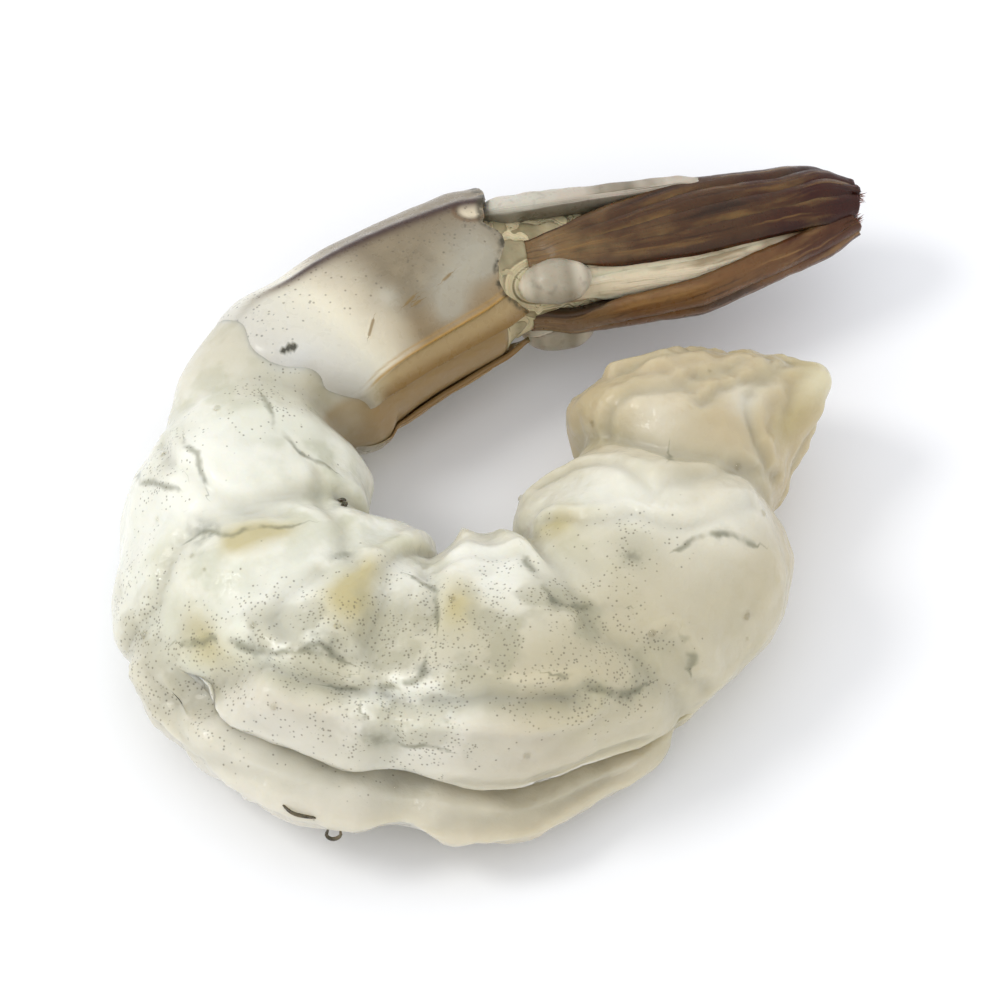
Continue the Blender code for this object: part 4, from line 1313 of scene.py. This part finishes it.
ribbed_plate = plate_tree()
tips, leads = [], []
for number, (name, (start, length, root, full, closed, stand, horn, ribs)) in enumerate(PLATES.items()):
    points, share, across = plate_sheet(start, length, root, full, closed, stand, number)
    begin = np.arange((PLATE_ROWS - 1) * PLATE_COLUMNS).reshape(-1, PLATE_COLUMNS)[:, :-1].ravel()
    quads = np.stack([begin, begin + 1, begin + PLATE_COLUMNS + 1, begin + PLATE_COLUMNS], axis=1)
    if full[1] > full[0]:
        quads = quads[:, ::-1]
    fields = {"share": share, "across": across}
    sheet = bare(name, points.reshape(-1, 3), (), quads.tolist(), fields)
    values = {
        "Thickness": PLATE_THICKNESS * MM,
        "Rib height": RIB_HEIGHT * MM,
        "Rib count": ribs,
        "Roughness": PLATE_ROUGHNESS * MM,
        "Seed": float(number),
        "Material": horn,
    }
    made = grown("shrimp_" + name, sheet, ribbed_plate, values)
    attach(made, "root")
    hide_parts(name)
    tips.append(points[-1] * 0.97 + points[-9] * 0.03)
    leads.append(points[-1] - points[-9])

# %% Fringe
tips, leads = np.concatenate(tips), np.concatenate(leads)
bristles = shred("bristles", "#3a2119", "#6d4a35")
values = {"Length": 0.9 * MM, "Radius": 0.09 * MM, "Seed": 3, "Material": bristles}
fringe_points = bare("fringe_points", tips, marks={"lead": leads})
fringe = grown("shrimp_tail_fringe", fringe_points, fringe_tree(), values)
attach(fringe, "root")

# %% [markdown]
# ## Telson and knobs
# The telson is a tapering blade with a groove between two ridges. The knobs are the round joints
# that carry the plates: smooth and pale, with painted shade round their base, where they sink
# into the joint skin.

# %% Telson
TELSON_START, TELSON_LENGTH, TELSON_TURN = -2.0, 25.0, 36.0
TELSON_HALF_WIDTH, TELSON_HALF_DEPTH = 3.5, 1.4
share, angle = ring_grid(140, 72)
tip = np.sqrt(np.clip(1.0 - share**8, 0.0, 1.0))
root = np.sqrt(np.clip(1.0 - (1.0 - np.minimum(share / 0.1, 1.0)) ** 2, 0.0, 1.0))
width = TELSON_HALF_WIDTH * (1.0 - 0.74 * share) * tip * root
depth = TELSON_HALF_DEPTH * (1.0 - 0.6 * share) * tip * root
turned = (angle + np.pi) % (2.0 * np.pi) - np.pi
ridges = 0.16 * (hump(np.abs(turned), 0.55, 0.18)) - 0.3 * hump(turned, 0.0, 0.35)
along = TELSON_START + TELSON_LENGTH * share
half_height, _ = fan_radii(along)
back = half_height - 0.5 + depth * np.cos(angle) * (1.0 + ridges)
left = width * np.sin(angle) * (1.0 + 0.25 * np.cos(angle))
cos, sin = math.cos(math.radians(TELSON_TURN)), math.sin(math.radians(TELSON_TURN))
rings = in_fan(along, back * cos - left * sin, back * sin + left * cos)
bumps = 0.12 * noise(rings, 1.6, 41) * ease(share, 0.0, 0.1) * ease(1.0 - share, 0.0, 0.1)
rings = rings + bumps[..., None] * normals(rings)
across = 0.5 + 0.46 * ease(np.abs(turned), 1.2, 1.7)
telson = loft("shrimp_telson", rings, telson_horn, {"share": share, "across": across})
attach(telson, "root")
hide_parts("telson")

# %% Knobs
KNOB_CENTRE = (2.9, -4.1, 3.0)
KNOB_RADII = (2.9, 1.9, 1.7)
KNOB_LUMPS = ((0.2, 2.4, 53), (0.05, 0.8, 54))
knob_horn = fan_horn("pale_knob_horn", "#cfc7b3", "#dad0bc", "#b3a68c", "#e4dfd1", "#5a5138", 2.0)
share, angle = ring_grid(70, 90)
turn = np.pi * share
for name, sign in (("protopod_left", 1.0), ("protopod_right", -1.0)):
    length, height, width = KNOB_RADII
    along = KNOB_CENTRE[0] - length * np.cos(turn) + 0.0 * angle
    back = KNOB_CENTRE[1] + height * np.sin(turn) * np.cos(angle)
    left = sign * KNOB_CENTRE[2] + width * np.sin(turn) * np.sin(angle)
    rings = in_fan(along, back, left)
    half_height, half_width = fan_radii(along)
    standing = 4.0 * (np.hypot(back / half_height, left / half_width) - 1.0)
    rise = lumps(rings, KNOB_LUMPS) * ease(np.sin(turn), 0.0, 0.3)
    rings = rings + rise[..., None] * normals(rings)
    # Painted shade: the knob darkens where it sinks into the joint skin, in the crevice round its base.
    crease = 1.0 - ease(standing + 0.3 * noise(rings, 1.2, 55), 0.2, 0.8)
    marks = {"share": 0.3 + 0.3 * share, "across": 0.5 + 0.48 * crease}
    knob = loft("shrimp_" + name, rings, knob_horn, marks)
    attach(knob, "root")
    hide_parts(name)
    print(name, len(knob.data.polygons), "faces")

# %% [markdown]
# ## The joint skin
# Between the shell and the fan a wrinkled skin lets the tail flick. It shows as a cream and
# olive collar with dark cracks, and with painted shade in a ring round each knob. It is lofted
# from the shell's section to the fan's.

# %% Collar
INSIDE_SHELL = 7.6
COLLAR_START, COLLAR_LENGTH = -1.5, 9.0
CRACKS = ((1.0, 2.6, 62), (0.3, 1.0, 63))
share, angle = ring_grid(150, 200)
out, up = section(body, INSIDE_SHELL, angle, -0.1)
shell_ring = body.place(INSIDE_SHELL + 0.0 * angle, out, up)
reach = COLLAR_START + COLLAR_LENGTH * share
half_height, half_width = fan_radii(reach)
fan_ring = in_fan(reach, (half_height - 0.1) * np.cos(angle), (half_width - 0.1) * np.sin(angle))
blend = ease(share, 0.0, 0.6)[..., None]
rings = shell_ring * (1.0 - blend) + fan_ring * blend
closing = np.sqrt(np.clip(1.0 - np.clip((share - 0.8) / 0.2, 0.0, 1.0) ** 2, 0.0, 1.0))
opening = np.sqrt(np.clip(share / 0.06, 0.0, 1.0))
centre = rings.mean(axis=1, keepdims=True)
rings = centre + (rings - centre) * (closing * opening)[..., None]
from_start = rings - fan_start
along, back, left = from_start @ fan_axis, from_start @ fan_back, from_start @ fan_left
# A ring round each knob is sunk a little and painted dark as the shade of its crevice; the cracks are the
# skin's own dark lines.
shaded_moat = np.zeros(along.shape)
for sign in (1.0, -1.0):
    parts = [(v - c) / r for v, c, r in zip((along, back, sign * left), KNOB_CENTRE, KNOB_RADII)]
    shaded_moat = np.maximum(shaded_moat, hump(np.sqrt(sum(p**2 for p in parts)), 1.1, 0.16))
cracks_and_moat_shade = np.maximum(hump(lumps(rings, CRACKS), 0.0, 0.07), shaded_moat)
rise = 0.2 * noise(rings, 2.0, 61) - 0.25 * cracks_and_moat_shade
rings = rings + (rise * closing * opening)[..., None] * normals(rings)
joint_horn = fan_horn("olive_joint_skin", "#e2d6b4", "#d6c8a2", "#b3a17b", "#e6ddc4", "#665c3c", 2.0)
marks = {"share": 0.25 + 0.5 * share, "across": 0.5 + 0.47 * cracks_and_moat_shade}
collar = loft("shrimp_joint_skin", rings, joint_horn, marks)
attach(collar, "root")
print("collar:", len(collar.data.polygons), "faces")

# %% [markdown]
# ## The floor, the light and the camera
# The floor is plain pale card. The photograph's light is a very large soft one, so a pale sky and
# two wide area lights make it. The camera looks down at 55 degrees from far off, which keeps the
# outline of the photograph's long lens.

# %% Stage
FLOOR_SIZE = 8.0
bpy.ops.mesh.primitive_plane_add(size=FLOOR_SIZE)
floor = bpy.context.object
floor.name = "floor"
card = bpy.data.materials.new("pale_card")
card.use_nodes = True
shader = card.node_tree.nodes["Principled BSDF"]
shader.inputs["Base Color"].default_value = colour("#f4f5f7")
shader.inputs["Roughness"].default_value = 0.75
floor.data.materials.append(card)

sky = bpy.data.worlds.new("soft_sky")
sky.use_nodes = True
sky.node_tree.nodes["Background"].inputs["Color"].default_value = colour("#fbfcff")
sky.node_tree.nodes["Background"].inputs["Strength"].default_value = 1.0
bpy.context.scene.world = sky


def window_light(name, place, size, power, tint):
    """A wide soft light that faces the shrimp."""
    data = bpy.data.lights.new(name, "AREA")
    data.shape, data.size, data.energy, data.color = "DISK", size, power, colour(tint)[:3]
    lamp = linked(name, data)
    lamp.location = place
    from_lamp = -lamp.location
    lamp.rotation_euler = from_lamp.to_track_quat("-Z", "Y").to_euler()


window_light("window", (-0.75, 0.0, 0.9), 0.4, 3.8, "#fffefb")
window_light("front_fill", (0.2, -0.9, 0.8), 0.9, 1.1, "#fffaf2")

# %% Camera
CAMERA_RISE, CAMERA_AWAY, FRAME_WIDTH = 55.0, 0.62, 0.077
TARGET = (0.0, 0.0, 0.007)
climb = math.radians(CAMERA_RISE)
lens = bpy.data.cameras.new("camera")
lens.lens = lens.sensor_width * CAMERA_AWAY / FRAME_WIDTH
camera = linked("camera", lens)
camera.location = (
    TARGET[0],
    TARGET[1] - CAMERA_AWAY * math.cos(climb),
    TARGET[2] + CAMERA_AWAY * math.sin(climb),
)
camera.rotation_euler = (math.radians(90.0 - CAMERA_RISE), 0.0, 0.0)
bpy.context.scene.camera = camera
bpy.context.scene.view_settings.view_transform = "Standard"
print("lens", round(lens.lens), "mm")
